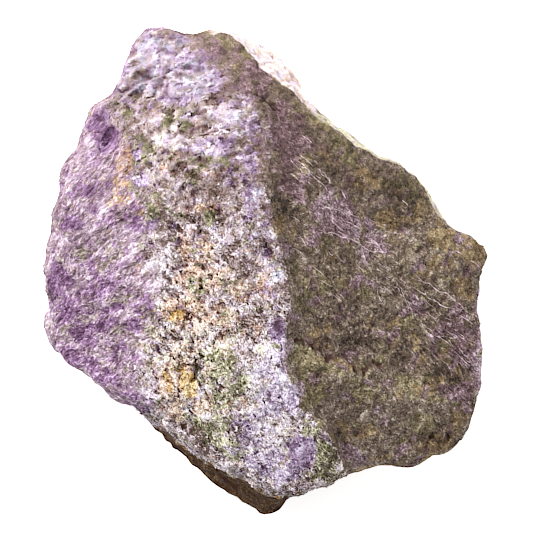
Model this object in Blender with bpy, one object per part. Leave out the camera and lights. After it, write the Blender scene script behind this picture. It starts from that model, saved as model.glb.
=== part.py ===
"""A hand specimen of stichtite in serpentine, as one broken stone with its own fracture faces.

The stone lies on its broad back fracture, so +Z is up. The face that shows looks up, with +X to
its right and +Y to its top. The origin is at the bottom, under the middle of the stone's box.
Lengths are in millimetres until the finished mesh is scaled to metres.
"""

import bisect
import math
from dataclasses import dataclass

import bmesh
import bpy
from mathutils import Vector, noise

# Driving dimensions, in millimetres
WIDTH = 64.8
LENGTH = 71.0
CREST_HEIGHT = 25.6
CRUST_STEP = 1.3
SHAVING = 0.45
WALL_BITE = 2.6
WALL_BLOCK = 13.0
WALL_LEDGE = 3.6
THINNEST_RIM = 0.7
FOOT_INSET = 0.4

# How finely the stone is laid out before its faces are thinned
SPOKES = 300
FACE_RINGS = 48
WALL_RINGS = 22
BACK_RINGS = 26
NET_SIZE = 0.6
MOST_TRIANGLES = 9800

MM = 0.001
FULL_TURN = 2 * math.pi

# The outline of the stone seen from above, side by side, against the clock from the top knob
TOP_KNOB = [(-6.2, 35.5), (-7.7, 35.2), (-9.0, 34.5), (-10.2, 34.4)]
TOP_HUMP = [(-12.3, 34.9), (-14.8, 35.2), (-17.4, 34.8), (-19.1, 33.6), (-19.9, 32.2), (-20.3, 31.0)]
UPPER_LEFT = [(-20.7, 29.3), (-21.3, 27.8), (-22.0, 26.4), (-22.8, 25.4), (-23.9, 24.8), (-24.9, 23.8)]
NOTCH = [(-26.0, 22.3), (-26.4, 21.3), (-27.0, 19.9), (-27.3, 18.4), (-27.8, 17.3), (-28.6, 16.1)]
LEFT_SHOULDER = [(-29.7, 15.2), (-29.9, 14.1), (-30.0, 11.9), (-30.6, 9.7), (-31.2, 7.3), (-31.6, 4.6)]
LEFT_SIDE = [(-32.2, 2.5), (-32.5, 0.3), (-32.5, -2.6), (-32.2, -5.5), (-32.0, -8.4), (-31.6, -10.3)]
LOWER_LEFT = [(-30.9, -11.6), (-29.7, -12.3), (-28.6, -13.6), (-27.1, -14.2), (-24.7, -16.4)]
LEFT_HEEL = [(-22.8, -17.8), (-21.3, -18.9), (-19.9, -19.1), (-18.7, -19.7), (-17.0, -22.0)]
WEDGE = [(-15.2, -24.1), (-11.6, -27.6), (-7.3, -31.3), (-3.6, -33.9), (-1.2, -35.2), (0.3, -35.5)]
WEDGE_END = [(1.7, -34.9), (2.3, -33.6), (2.6, -32.5)]
BOTTOM = [(3.3, -32.8), (5.1, -32.9), (6.5, -32.0), (8.7, -31.3), (10.2, -30.3), (11.6, -29.4)]
LOWER_EDGE = [(14.2, -29.0), (16.0, -28.1), (17.4, -28.3), (19.6, -28.7), (21.3, -28.7), (22.9, -28.1)]
LOWER_RIGHT = [(23.9, -27.1), (25.4, -27.1), (27.1, -26.1), (28.6, -24.8), (29.7, -22.9), (30.3, -21.5)]
RIGHT_SIDE = [(30.4, -19.3), (31.2, -17.1), (31.3, -15.7), (31.2, -9.9), (31.0, -7.0), (30.5, -5.2)]
TIP = [(30.9, -4.1), (31.2, -1.9), (31.6, -0.4), (32.3, 1.4), (32.2, 2.9), (31.9, 4.2)]
UNDER_TIP = [(30.0, 4.5), (28.3, 5.5), (26.4, 6.5), (25.1, 8.4), (23.5, 10.6), (23.3, 12.0)]
LONG_EDGE = [(22.2, 13.3), (20.3, 14.6), (18.9, 15.2), (16.7, 16.5), (14.1, 18.6), (11.6, 20.4)]
BACK_BULGE = [(9.1, 22.2), (6.8, 23.9), (5.2, 25.2), (4.6, 27.0), (4.1, 28.1), (2.5, 29.6)]
TOP_EDGE = [(0.7, 31.6), (-2.2, 33.5), (-4.4, 34.5)]
OUTLINE = (
    TOP_KNOB + TOP_HUMP + UPPER_LEFT + NOTCH + LEFT_SHOULDER + LEFT_SIDE + LOWER_LEFT + LEFT_HEEL
    + WEDGE + WEDGE_END + BOTTOM + LOWER_EDGE + LOWER_RIGHT + RIGHT_SIDE + TIP + UNDER_TIP
    + LONG_EDGE + BACK_BULGE + TOP_EDGE
)

# How far the rim of the front face stands inside the outline, by compass angle in degrees
RIM_INSET = [
    (-180, 0.5), (-136, 0.4), (-134, 0.5), (-130, 1.6), (-125, 1.8), (-117, 2.0), (-109, 2.5),
    (-103, 3.4), (-97, 4.4), (-90, 4.3), (-87.5, 3.0), (-85, 0.4), (-45, 0.6), (5, 0.3), (44, 0.3),
    (52, 0.6), (61, 0.7), (75, 0.8), (78.5, 0.5), (80.5, 1.6), (85, 2.8), (91, 3.0), (96, 1.0),
    (100, 0.3), (150, 0.6), (180, 0.5),
]
# Where the wall stands out furthest, as a share of the way down it
GIRTH_SHARE = [
    (-180, 0.45), (-136, 0.5), (-130, 0.9), (-88, 0.9), (-84, 0.35), (0, 0.3), (40, 0.3),
    (60, 0.4), (95, 0.45), (105, 0.4), (180, 0.45),
]

# The crest between the pale crust on the left and the dark face on the right, as (y, x)
CREST = [
    (-29.5, 11.9), (-25.5, 10.4), (-22.6, 8.3), (-20.7, 6.2), (-17.8, 4.8), (-14.9, 3.3), (-11.3, 2.6),
    (-7.7, 3.3), (-4.1, 3.9), (-0.4, 2.8), (3.2, 2.3), (6.1, 1.3), (9.7, 0.4), (12.6, -0.1), (16.2, 0.7),
    (20.6, 0.4), (24.2, -1.0), (27.1, -2.6), (30.5, -3.9), (35.5, -6.2),
]


@dataclass(frozen=True)
class Facet:
    """A flat fracture face: its height at one point, and how fast it rises along X and Y."""

    x: float
    y: float
    height: float
    rise_x: float
    rise_y: float

    def at(self, x, y):
        return self.height + self.rise_x * (x - self.x) + self.rise_y * (y - self.y)


@dataclass(frozen=True)
class Hollow:
    """A rounded pit: its middle, its half length and half width, its turn in degrees and its depth."""

    x: float
    y: float
    half_length: float
    half_width: float
    turn: float
    depth: float

    def at(self, x, y):
        angle = math.radians(self.turn)
        along = (x - self.x) * math.cos(angle) + (y - self.y) * math.sin(angle)
        across = (y - self.y) * math.cos(angle) - (x - self.x) * math.sin(angle)
        reach = (along / self.half_length) ** 2 + (across / self.half_width) ** 2
        return self.depth * math.exp(-reach * reach)


@dataclass(frozen=True)
class Fissure:
    """An open crack along a line of points, with its half width and depth."""

    points: tuple
    half_width: float
    depth: float

    def at(self, x, y):
        reach = min(gap_to_line(x, y, a, b) for a, b in zip(self.points, self.points[1:]))
        return self.depth * math.exp(-((reach / self.half_width) ** 2))


@dataclass(frozen=True)
class Fibres:
    """Low relief drawn out along one direction in the face, as a fibrous mineral breaks."""

    turn: float
    along: float
    across: float
    height: float

    def at(self, x, y, z):
        angle = math.radians(self.turn)
        run = (x * math.cos(angle) + y * math.sin(angle)) / self.along
        side = (y * math.cos(angle) - x * math.sin(angle)) / self.across
        point = Vector((run, side, z / self.across))
        return self.height * noise.fractal(point, 1.0, 2.0, 2, noise_basis="PERLIN_NEW")


@dataclass(frozen=True)
class Lumps:
    """Relief with no direction: the size of its lumps, their height, and its layers of finer ones."""

    size: float
    height: float
    layers: int

    def at(self, x, y, z):
        return self.height * ripple(x, y, z, self.size, self.layers)


CRUST_FACETS = [
    Facet(2.0, 0.0, CREST_HEIGHT, 0.25, 0.0),
    Facet(0.0, 14.0, 24.6, 0.10, -0.22),
    Facet(-4.0, 26.0, 22.3, 0.28, -0.50),
    Facet(-20.0, 0.0, 19.6, 0.72, 0.10),
    Facet(-29.0, -3.0, 12.6, 1.70, 0.05),
    Facet(-26.0, 18.0, 13.6, 0.55, -0.30),
    Facet(-12.0, -18.0, 20.2, 0.26, 0.42),
    Facet(0.0, -24.0, 22.6, 0.05, 0.55),
]
DARK_FACETS = [
    Facet(3.0, 0.0, CREST_HEIGHT - CRUST_STEP - 0.4, -0.52, 0.02),
    Facet(2.0, 20.0, 22.6, -0.24, -0.33),
    Facet(26.0, -22.0, 10.8, -0.50, 0.36),
    Facet(16.0, -25.0, 15.8, -0.30, 0.42),
    Facet(30.0, -12.0, 9.9, -1.10, 0.0),
    Facet(0.0, -24.0, 21.8, -0.20, 0.55),
    Facet(-3.0, 30.0, 21.0, -0.20, -0.40),
]
BACK_FACETS = [
    Facet(0.0, 0.0, -SHAVING, 0.0, 0.0),
    Facet(9.0, 0.0, 0.0, 0.24, 0.03),
    Facet(21.0, 4.0, 3.2, 0.52, 0.10),
    Facet(-24.0, 2.0, 0.0, -0.80, 0.10),
    Facet(-8.0, 25.0, 0.0, -0.16, 0.95),
    Facet(-19.0, 14.0, 0.0, -0.42, 0.38),
    Facet(6.0, 17.0, 0.0, 0.20, 0.44),
    Facet(2.0, -27.0, 0.0, 0.10, -0.70),
    Facet(-17.0, -16.0, 0.0, -0.50, -0.42),
    Facet(15.0, -20.0, 0.0, 0.30, -0.46),
]
FACE_HOLLOWS = [
    Hollow(17.0, -2.0, 13.0, 30.0, 0.0, 0.5),
    Hollow(-22.7, 19.2, 2.6, 1.5, 60.0, 2.6),
    Hollow(-24.4, 22.0, 2.2, 1.2, 50.0, 1.7),
    Hollow(-14.2, -10.6, 1.9, 0.8, 20.0, 0.9),
    Hollow(-14.0, 22.8, 1.3, 1.0, 0.0, 0.7),
    Hollow(-11.4, 15.8, 2.4, 1.1, 30.0, 0.6),
    Hollow(0.2, 3.3, 0.9, 0.6, 130.0, 0.9),
    Hollow(12.7, -11.0, 2.6, 1.5, 60.0, 0.9),
    Hollow(23.9, -24.6, 1.5, 1.0, 30.0, 0.9),
    Hollow(26.8, -24.2, 1.0, 0.7, 70.0, 0.7),
    Hollow(3.0, 16.5, 5.5, 2.0, 95.0, 0.5),
    Hollow(-22.6, -5.4, 4.6, 1.3, 24.0, 0.8),
    Hollow(-21.6, -12.6, 3.4, 1.0, 15.0, 0.6),
    Hollow(-12.0, 24.6, 2.0, 0.9, 10.0, 0.5),
    Hollow(13.5, 8.0, 6.0, 2.4, -38.0, 0.5),
]
FACE_LUMPS = [
    Hollow(9.9, -15.8, 2.3, 1.7, 50.0, 0.9),
    Hollow(8.2, -10.4, 1.6, 1.2, 0.0, 0.5),
    Hollow(17.6, 13.2, 3.4, 1.8, -38.0, 0.5),
    Hollow(24.0, 0.8, 4.2, 2.2, -30.0, 0.5),
    Hollow(6.6, 12.2, 4.4, 1.6, -50.0, 0.4),
    Hollow(19.0, -18.5, 4.5, 2.6, 20.0, 0.5),
    Hollow(-17.6, 8.6, 3.2, 1.8, 20.0, 0.5),
    Hollow(-5.4, -12.6, 3.2, 1.6, 110.0, 0.6),
    Hollow(-14.4, -17.6, 2.2, 1.5, 30.0, 0.6),
]
FACE_FISSURES = [
    Fissure(
        ((-11.6, -5.2), (-10.8, -8.4), (-9.2, -11.6), (-9.9, -14.9), (-8.5, -17.8), (-7.4, -20.3)),
        0.55,
        1.5,
    ),
    Fissure(((-14.6, 2.6), (-12.8, 0.6), (-12.4, -0.6)), 0.4, 0.8),
    Fissure(((-0.6, 25.3), (2.4, 23.0)), 0.4, 0.8),
    Fissure(((-21.8, 23.8), (-17.9, 26.7), (-14.8, 28.4)), 0.6, 0.8),
    Fissure(((-29.0, 6.0), (-29.7, -1.5), (-28.9, -8.0), (-27.0, -12.2)), 0.7, 0.9),
]
LEDGE = ((7.5, -11.8), (10.6, -12.9), (12.4, -13.8), (16.2, -14.0), (20.0, -15.8), (25.0, -18.4))
LEDGE_RISE = 0.55
LEDGE_FADE = 7.0
TROUGH_DEPTH = 0.9
TROUGH_WIDTH = 2.4

# How the rock breaks on each face
BROAD_SWELL = Lumps(11.0, 0.45, 2)
WALL_LUMPS = (Lumps(5.0, 0.55, 3), Lumps(2.4, 0.30, 2))
WALL_STEP_HEIGHT = 4.2
WALL_STEP_RISE = 0.25
WALL_STEP_WANDER = Lumps(14.0, 0.8, 2)
CRUST_LUMPS = (Lumps(4.6, 0.34, 2), Lumps(2.2, 0.40, 3))
DARK_PLATES = (Lumps(11.0, -0.18, 2), Lumps(4.4, 0.26, 3), Lumps(2.2, 0.12, 3))
FLANK_FIBRES = Fibres(24.0, 7.0, 1.9, 0.42)
DARK_STREAKS = Fibres(-38.0, 5.0, 1.4, 0.16)
PURPLE_RIBS = Fibres(-40.0, 11.0, 1.6, 0.55)
RIBBED_CORNER = Hollow(27.5, -13.5, 8.5, 7.0, -40.0, 1.0)


def gap_to_line(x, y, start, end):
    """The distance from a point to a straight stretch."""
    dx, dy = end[0] - start[0], end[1] - start[1]
    share = ((x - start[0]) * dx + (y - start[1]) * dy) / (dx * dx + dy * dy)
    share = max(0.0, min(1.0, share))
    return math.hypot(x - start[0] - share * dx, y - start[1] - share * dy)


def between(stations, place):
    """The value at a place in a rising list of (place, value), along straight stretches."""
    after = bisect.bisect_left([station[0] for station in stations], place)
    if after == 0:
        return stations[0][1]
    if after == len(stations):
        return stations[-1][1]
    (low, first), (high, second) = stations[after - 1], stations[after]
    return first + (second - first) * (place - low) / (high - low)


def smooth_step(low, high, value):
    share = max(0.0, min(1.0, (value - low) / (high - low)))
    return share * share * (3 - 2 * share)


def soft_lowest(values, sharpness=2.6):
    """The lowest of several heights, with the edges where faces meet a little rounded."""
    floor = min(values)
    return floor - math.log(sum(math.exp(-sharpness * (value - floor)) for value in values)) / sharpness


def ripple(x, y, z, wavelength, octaves=3):
    """Smooth rock noise of about plus or minus one, with finer noise on it."""
    point = Vector((x, y, z)) / wavelength
    return noise.fractal(point, 1.0, 2.0, octaves, noise_basis="PERLIN_NEW")


def crest_x(y):
    """Where the crest lies at a height on the face, a little ragged as the crust breaks there."""
    return between(CREST, y) + 0.45 * ripple(3.0, y, 7.0, 3.1)


def face_height(x, y):
    """The height of the face that shows, with its crust, ledge, hollows and cracks."""
    crust = soft_lowest([facet.at(x, y) for facet in CRUST_FACETS])
    dark = soft_lowest([facet.at(x, y) for facet in DARK_FACETS])
    past_crest = x - crest_x(y)
    trough = math.exp(-(((past_crest - 1.6) / TROUGH_WIDTH) ** 2)) * smooth_step(-2.0, 6.0, y)
    dark -= TROUGH_DEPTH * trough * smooth_step(24.0, 14.0, y)
    height = dark + (crust - dark) * smooth_step(0.6, -0.6, past_crest)
    reach = min(gap_to_line(x, y, a, b) for a, b in zip(LEDGE, LEDGE[1:]))
    if y < between(LEDGE, x):
        height += LEDGE_RISE * smooth_step(LEDGE_FADE, 0.0, reach) * smooth_step(5.0, 8.0, x)
    height += sum(lump.at(x, y) for lump in FACE_LUMPS)
    height -= sum(hollow.at(x, y) for hollow in FACE_HOLLOWS)
    return height - sum(fissure.at(x, y) for fissure in FACE_FISSURES)


def back_height(x, y):
    """The height of the underside: a flat rest in the middle and broken faces that rise from it."""
    return -soft_lowest([-facet.at(x, y) for facet in BACK_FACETS], sharpness=3.5)


def outline_reach(angle):
    """How far the outline is from the middle in a direction."""
    across = (math.cos(angle), math.sin(angle))
    for (ax, ay), (bx, by) in zip(OUTLINE, OUTLINE[1:] + OUTLINE[:1]):
        dx, dy = bx - ax, by - ay
        cross = across[0] * dy - across[1] * dx
        if abs(cross) < 1e-9:
            continue
        share = (across[1] * ax - across[0] * ay) / cross
        reach = (ax * dy - ay * dx) / cross
        if -1e-9 <= share <= 1 + 1e-9 and reach > 0:
            return reach
    raise ValueError("the outline doesn't go round the middle")


def wall_bite(x, y, z):
    """How deeply the wall is broken inwards at a point, in blocks with ledges between them."""
    blocks = abs(ripple(x, y, 0.7 * z, WALL_BLOCK, 2))
    ledges = smooth_step(-0.2, 0.3, ripple(0.3 * x, 0.3 * y, z, WALL_LEDGE, 2))
    return WALL_BITE * blocks * (0.55 + 0.45 * ledges)


def spoke_points(angle):
    """One spoke of the stone from the middle of its face, over the rim, down the wall and back in."""
    degrees = math.degrees(angle)
    reach = outline_reach(angle)
    inset = between(RIM_INSET, degrees)
    girth = between(GIRTH_SHARE, degrees)
    ux, uy = math.cos(angle), math.sin(angle)
    rim = reach - inset
    points = []
    for ring in range(1, FACE_RINGS + 1):
        r = rim * (ring / FACE_RINGS) ** 0.85
        points.append((r * ux, r * uy, face_height(r * ux, r * uy)))
    top = points[-1][2]
    foot_reach = reach - FOOT_INSET
    foot = min(back_height(foot_reach * ux, foot_reach * uy), top - THINNEST_RIM)
    for ring in range(1, WALL_RINGS):
        share = ring / WALL_RINGS
        if share < girth:
            out = 1 - (1 - share / girth) ** 1.3
            r = rim + inset * out
        else:
            r = reach - (reach - foot_reach) * ((share - girth) / (1 - girth)) ** 2
        z = top + (foot - top) * share
        away = min(share, 1 - share) * 4 * abs(share - girth) * (top - foot) / CREST_HEIGHT
        r -= wall_bite(r * ux, r * uy, z) * min(1.0, 2.5 * away)
        points.append((r * ux, r * uy, z))
    for ring in range(BACK_RINGS, 0, -1):
        r = foot_reach * ring / BACK_RINGS
        points.append((r * ux, r * uy, min(back_height(r * ux, r * uy), foot)))
    return points


def lay_out_stone():
    """The mesh of the stone as a closed net of spokes and rings."""
    stone = bmesh.new()
    crown = stone.verts.new((0, 0, face_height(0, 0)))
    spokes = []
    for number in range(SPOKES):
        angle = -math.pi + FULL_TURN * number / SPOKES
        spokes.append([stone.verts.new(point) for point in spoke_points(angle)])
    base = stone.verts.new((0, 0, back_height(0, 0)))
    for this, following in zip(spokes, spokes[1:] + spokes[:1]):
        stone.faces.new((crown, this[0], following[0]))
        for ring in range(len(this) - 1):
            stone.faces.new((this[ring], this[ring + 1], following[ring + 1], following[ring]))
        stone.faces.new((base, following[-1], this[-1]))
    mesh = bpy.data.meshes.new("stone_net")
    stone.to_mesh(mesh)
    stone.free()
    return mesh


def stepped(x, y, z):
    """The low steps that run round the wall."""
    return math.sin(FULL_TURN * (z / WALL_STEP_HEIGHT + WALL_STEP_WANDER.at(x, y, z)))


def roughness_at(point, normal):
    """How far the broken surface stands out at a point, by what breaks there."""
    x, y, z = point
    relief = BROAD_SWELL.at(x, y, z)
    if normal.z < 0.25:
        relief += sum(lumps.at(x, y, z) for lumps in WALL_LUMPS)
        return relief + WALL_STEP_RISE * stepped(x, y, z) * smooth_step(0.25, 0.0, abs(normal.z))
    if x > crest_x(y):
        relief += sum(plates.at(x, y, z) for plates in DARK_PLATES)
        return relief + DARK_STREAKS.at(x, y, z) + PURPLE_RIBS.at(x, y, z) * RIBBED_CORNER.at(x, y)
    fibrous = smooth_step(-15.0, -20.0, x + 0.12 * y)
    crumbly = sum(lumps.at(x, y, z) for lumps in CRUST_LUMPS)
    return relief + (1 - fibrous) * crumbly + fibrous * FLANK_FIBRES.at(x, y, z)


def roughen(mesh):
    """Moves each point of the stone along its normal, by the roughness of the rock there."""
    moves = [vert.normal * roughness_at(vert.co, vert.normal) for vert in mesh.vertices]
    for vert, move in zip(mesh.vertices, moves):
        vert.co += move


def floor_block():
    """A block that fills the space under the plane the stone rests on."""
    block = bmesh.new()
    bmesh.ops.create_cube(block, size=2 * LENGTH)
    bmesh.ops.translate(block, verts=block.verts, vec=(0, 0, -LENGTH))
    mesh = bpy.data.meshes.new("floor_block")
    block.to_mesh(mesh)
    block.free()
    cutter = bpy.data.objects.new("floor_block", mesh)
    cutter.hide_render = True
    cutter.display_type = "WIRE"
    bpy.context.scene.collection.objects.link(cutter)
    return cutter


def carried(mesh):
    """An object that carries a mesh through its modifiers."""
    carrier = bpy.data.objects.new(mesh.name, mesh)
    bpy.context.scene.collection.objects.link(carrier)
    return carrier


def shaped(carrier):
    """The mesh as the carrier's modifiers leave it. The carrier is removed."""
    bpy.context.view_layer.update()
    result = bpy.data.meshes.new_from_object(carrier.evaluated_get(bpy.context.evaluated_depsgraph_get()))
    bpy.data.objects.remove(carrier)
    return result


def evened(mesh):
    """The stone in faces of one size, so its relief is as fine at the rim as in the middle."""
    carrier = carried(mesh)
    remesh = carrier.modifiers.new("even", "REMESH")
    remesh.mode = "VOXEL"
    remesh.voxel_size = NET_SIZE
    return shaped(carrier)


def thinned_and_shaved(mesh):
    """The stone with its flatter parts in fewer faces, and its underside cut off flat to rest on."""
    carrier = carried(mesh)
    decimate = carrier.modifiers.new("thin", "DECIMATE")
    mesh.calc_loop_triangles()
    decimate.ratio = MOST_TRIANGLES / len(mesh.loop_triangles)
    shave = carrier.modifiers.new("shave", "BOOLEAN")
    shave.operation = "DIFFERENCE"
    block = floor_block()
    shave.object = block
    result = shaped(carrier)
    bpy.data.objects.remove(block)
    return result


def set_to_size(mesh):
    """Brings the stone to its stated width and length, over the origin, in metres."""
    lowest = Vector(min(vert.co[axis] for vert in mesh.vertices) for axis in range(3))
    highest = Vector(max(vert.co[axis] for vert in mesh.vertices) for axis in range(3))
    size = highest - lowest
    middle = (lowest + highest) / 2
    across, along = WIDTH / size.x, LENGTH / size.y
    for vert in mesh.vertices:
        x, y, z = vert.co
        vert.co = Vector(((x - middle.x) * across, (y - middle.y) * along, z)) * MM


def stone_material():
    """Broken stichtite: a dull lilac grey mineral with a faint silky shine."""
    material = bpy.data.materials.new("stichtite_rock")
    material.use_nodes = True
    shader = material.node_tree.nodes["Principled BSDF"]
    shader.inputs["Base Color"].default_value = (0.36, 0.27, 0.33, 1.0)
    shader.inputs["Roughness"].default_value = 0.72
    shader.inputs["Metallic"].default_value = 0.0
    return material


def clear_scene():
    for existing in list(bpy.data.objects):
        bpy.data.objects.remove(existing)


def main():
    clear_scene()
    mesh = evened(lay_out_stone())
    roughen(mesh)
    mesh = thinned_and_shaved(mesh)
    set_to_size(mesh)
    mesh.name = "stichtite_stone"
    specimen = bpy.data.objects.new("stichtite_stone", mesh)
    mesh.materials.append(stone_material())
    bpy.context.scene.collection.objects.link(specimen)


main()
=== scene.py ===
"""The looks of a broken stichtite stone: a crumbly pale crust, a fibrous lilac flank and a dark face.

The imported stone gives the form. The rock here is a finer skin in its place, with the relief and the
minerals of each face, and loose grains, splinters and fine veins lie on it. Lengths are in
millimetres up to the point where a mesh is finished, and in metres from there on.
"""

from __future__ import annotations

import itertools
import logging
import math
from collections.abc import Iterable
from dataclasses import dataclass
from enum import Enum, IntEnum

import bmesh
import bpy
import numpy as np
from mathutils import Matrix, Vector
from mathutils.bvhtree import BVHTree

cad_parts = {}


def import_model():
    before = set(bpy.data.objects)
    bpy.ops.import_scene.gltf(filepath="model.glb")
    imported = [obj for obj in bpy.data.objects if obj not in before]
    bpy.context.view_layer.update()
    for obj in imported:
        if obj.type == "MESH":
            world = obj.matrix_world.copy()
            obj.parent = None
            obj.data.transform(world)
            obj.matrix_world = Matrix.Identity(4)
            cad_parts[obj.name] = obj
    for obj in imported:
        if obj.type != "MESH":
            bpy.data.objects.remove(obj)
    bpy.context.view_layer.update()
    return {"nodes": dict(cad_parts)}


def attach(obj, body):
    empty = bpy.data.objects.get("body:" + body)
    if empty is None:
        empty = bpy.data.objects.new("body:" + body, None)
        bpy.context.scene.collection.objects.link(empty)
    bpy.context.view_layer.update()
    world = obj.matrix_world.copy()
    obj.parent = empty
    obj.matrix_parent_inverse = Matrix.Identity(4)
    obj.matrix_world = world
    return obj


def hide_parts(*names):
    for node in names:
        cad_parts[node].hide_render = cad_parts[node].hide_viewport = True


LOG = logging.getLogger("stichtite")

MM = 0.001
STONE_NODE = "stichtite_stone"
BODY = "root"

# The crest between the pale crust and the dark face, as (y, x), from the foot of the face to its top
CREST = (
    (-29.5, 11.9), (-25.5, 10.4), (-22.6, 8.3), (-20.7, 6.2), (-17.8, 4.8), (-14.9, 3.3), (-11.3, 2.6),
    (-7.7, 3.3), (-4.1, 3.9), (-0.4, 2.8), (3.2, 2.3), (6.1, 1.3), (9.7, 0.4), (12.6, -0.1), (16.2, 0.7),
    (20.6, 0.4), (24.2, -1.4), (27.1, -4.2), (30.5, -7.4), (35.5, -11.8),
)
# Where the crumbly crust gives way to the fibrous flank, as (y, x)
FLANK_LINE = (
    (-24.0, -17.5), (-18.5, -18.0), (-13.0, -17.0), (-6.0, -16.5), (2.0, -17.0), (9.0, -18.5), (15.0, -20.5),
    (20.0, -21.5), (23.5, -23.0), (26.0, -26.0), (29.0, -31.0),
)
# The lower edge of the face, above the wall that drops away at the lower left, as (x, y)
FOOT_LINE = (
    (-21.0, -18.6), (-19.6, -19.3), (-18.1, -20.4), (-14.8, -23.3), (-9.0, -27.3), (-1.7, -31.2),
    (3.2, -32.8), (6.5, -32.9), (10.4, -30.3),
)
# The ledge below the pit in the dark face, as (x, y)
LEDGE = (
    (3.4, -9.6), (5.2, -10.4), (7.6, -11.6), (8.6, -12.8), (10.2, -12.4), (11.8, -12.9), (12.6, -14.2),
    (14.2, -14.6), (15.6, -13.6), (17.8, -14.2), (20.5, -14.6),
)
# The fibres of the flank fan out from a point beyond the lower left, as (x, y)
FAN_CENTRE = (-52.0, -17.0)
FAN_RADIUS = 33.0
# The way that fibres, streaks and ribs run on each face, in degrees against the clock from +X
FLANK_FIBRE_TURN = 32.0
CRUST_STREAK_TURN = -55.0
CRUST_LEVEL_TURN = 8.0
DARK_FIBRE_TURN = -38.0
RIB_TURN = -46.0

Colour = tuple[float, float, float]
Ramp = tuple[tuple[float, Colour], ...]


def eye_colour(red: int, green: int, blue: int) -> Colour:
    """A surface colour for the shader from how it looks, each channel from 0 to 255."""

    def linear(channel: int) -> float:
        share = channel / 255
        return share / 12.92 if share <= 0.04045 else ((share + 0.055) / 1.055) ** 2.4

    return linear(red), linear(green), linear(blue)


def shades(*stops: tuple[float, int, int, int]) -> Ramp:
    """A ramp of colours, each stop with its place, then its red, green and blue as it looks."""
    return tuple((place, eye_colour(*channels)) for place, *channels in stops)


def smooth(low: float, high: float, values: np.ndarray) -> np.ndarray:
    """A soft step from 0 at low to 1 at high."""
    share = np.clip((values - low) / (high - low), 0.0, 1.0)
    return share * share * (3 - 2 * share)


def along_line(line: tuple[tuple[float, float], ...], places: np.ndarray) -> np.ndarray:
    """The second value of a line's stations, at places along the first."""
    return np.interp(places, [station for station, _ in line], [value for _, value in line])


class Noise:
    """Repeatable rock noise on points in millimetres.

    Args:
        seed: Picks the pattern.
    """

    TABLE = 256
    GAIN = 1.7
    LAYERED_GAIN = 1.4
    LAYER_SHIFT = 17.3

    def __init__(self, seed: int) -> None:
        """Draws the table of directions and the shuffled order they are read in."""
        draw = np.random.default_rng(seed)
        self.order = draw.permutation(self.TABLE)
        directions = draw.normal(size=(self.TABLE, 3))
        self.directions = directions / np.linalg.norm(directions, axis=1)[:, None]
        self.jitter = draw.random((self.TABLE, 3))

    def _pick(self, cells: np.ndarray) -> np.ndarray:
        """A repeatable table row for each lattice cell."""
        wrapped = cells % self.TABLE
        row = self.order[wrapped[:, 0]]
        row = self.order[(row + wrapped[:, 1]) % self.TABLE]
        return self.order[(row + wrapped[:, 2]) % self.TABLE]

    def smooth_noise(self, points: np.ndarray) -> np.ndarray:
        """Gradient noise of about plus or minus one, with lumps one unit apart.

        Args:
            points: The places, in units of the lumps' spacing.

        Returns:
            A value for each point.
        """
        cells = np.floor(points).astype(np.int64)
        inside = points - cells
        fade = inside**3 * (inside * (inside * 6 - 15) + 10)
        total = np.zeros(len(points))
        for corner in itertools.product((0, 1), repeat=3):
            offset = np.array(corner)
            direction = self.directions[self._pick(cells + offset)]
            weight = np.prod(np.where(offset == 1, fade, 1 - fade), axis=1)
            total += weight * np.einsum("ij,ij->i", direction, inside - offset)
        return total * self.GAIN

    def layered(self, points: np.ndarray, size: float, layers: int = 3) -> np.ndarray:
        """Noise with finer noise on it.

        Args:
            points: The places, in millimetres.
            size: The spacing of the broadest lumps.
            layers: How many layers, each half as broad and half as high as the one before.

        Returns:
            A value of about plus or minus one for each point.
        """
        total = np.zeros(len(points))
        reach = 0.0
        for layer in range(layers):
            height = 0.5**layer
            total += height * self.smooth_noise(points / (size * height) + self.LAYER_SHIFT * layer)
            reach += height
        return total / reach * self.LAYERED_GAIN

    def lumps(self, points: np.ndarray, size: float) -> np.ndarray:
        """Rounded lumps packed against each other.

        Args:
            points: The places, in millimetres.
            size: The spacing of the lumps.

        Returns:
            How high each point is on its lump, from 0 in the gap to 1 on top.
        """
        scaled = points / size
        cells = np.floor(scaled).astype(np.int64)
        nearest = np.full(len(points), 9.0)
        second = np.full(len(points), 9.0)
        for step in itertools.product((-1, 0, 1), repeat=3):
            neighbour = cells + np.array(step)
            row = self._pick(neighbour)
            gap = np.linalg.norm(neighbour + self.jitter[row] - scaled, axis=1)
            second = np.minimum(second, np.maximum(nearest, gap))
            nearest = np.minimum(nearest, gap)
        return np.clip((second - nearest) / 0.7, 0.0, 1.0) ** 0.6


def turned(points: np.ndarray, degrees: float, stretch: float) -> np.ndarray:
    """The points turned about +Z and squeezed along the fibres, so that noise on them is drawn out.

    Args:
        points: The places, in millimetres.
        degrees: The direction the fibres run in the face, against the clock from +X.
        stretch: How many times as long as wide the noise becomes.

    Returns:
        The points to read noise at.
    """
    angle = math.radians(degrees)
    run = points[:, 0] * math.cos(angle) + points[:, 1] * math.sin(angle)
    side = points[:, 1] * math.cos(angle) - points[:, 0] * math.sin(angle)
    return np.column_stack((run / stretch, side, points[:, 2]))


def fanned(points: np.ndarray) -> np.ndarray:
    """Each place along the flank's fibres, across them and up, in millimetres."""
    run = points[:, 0] - FAN_CENTRE[0]
    rise = points[:, 1] - FAN_CENTRE[1]
    return np.column_stack((np.hypot(run, rise), np.arctan2(rise, run) * FAN_RADIUS, points[:, 2]))


class Tint(Enum):
    """The minerals and marks that colour a patch of the rock, where the pit and shade marks darken it partly
    as painted shade. The value is its mask's name.
    """

    OCHRE = "ochre"
    OLIVE = "olive"
    PURPLE = "purple"
    PALE = "pale"
    PIT = "pit"
    SHADE = "shade"
    AMBER = "amber"
    BLUISH = "bluish"


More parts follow.
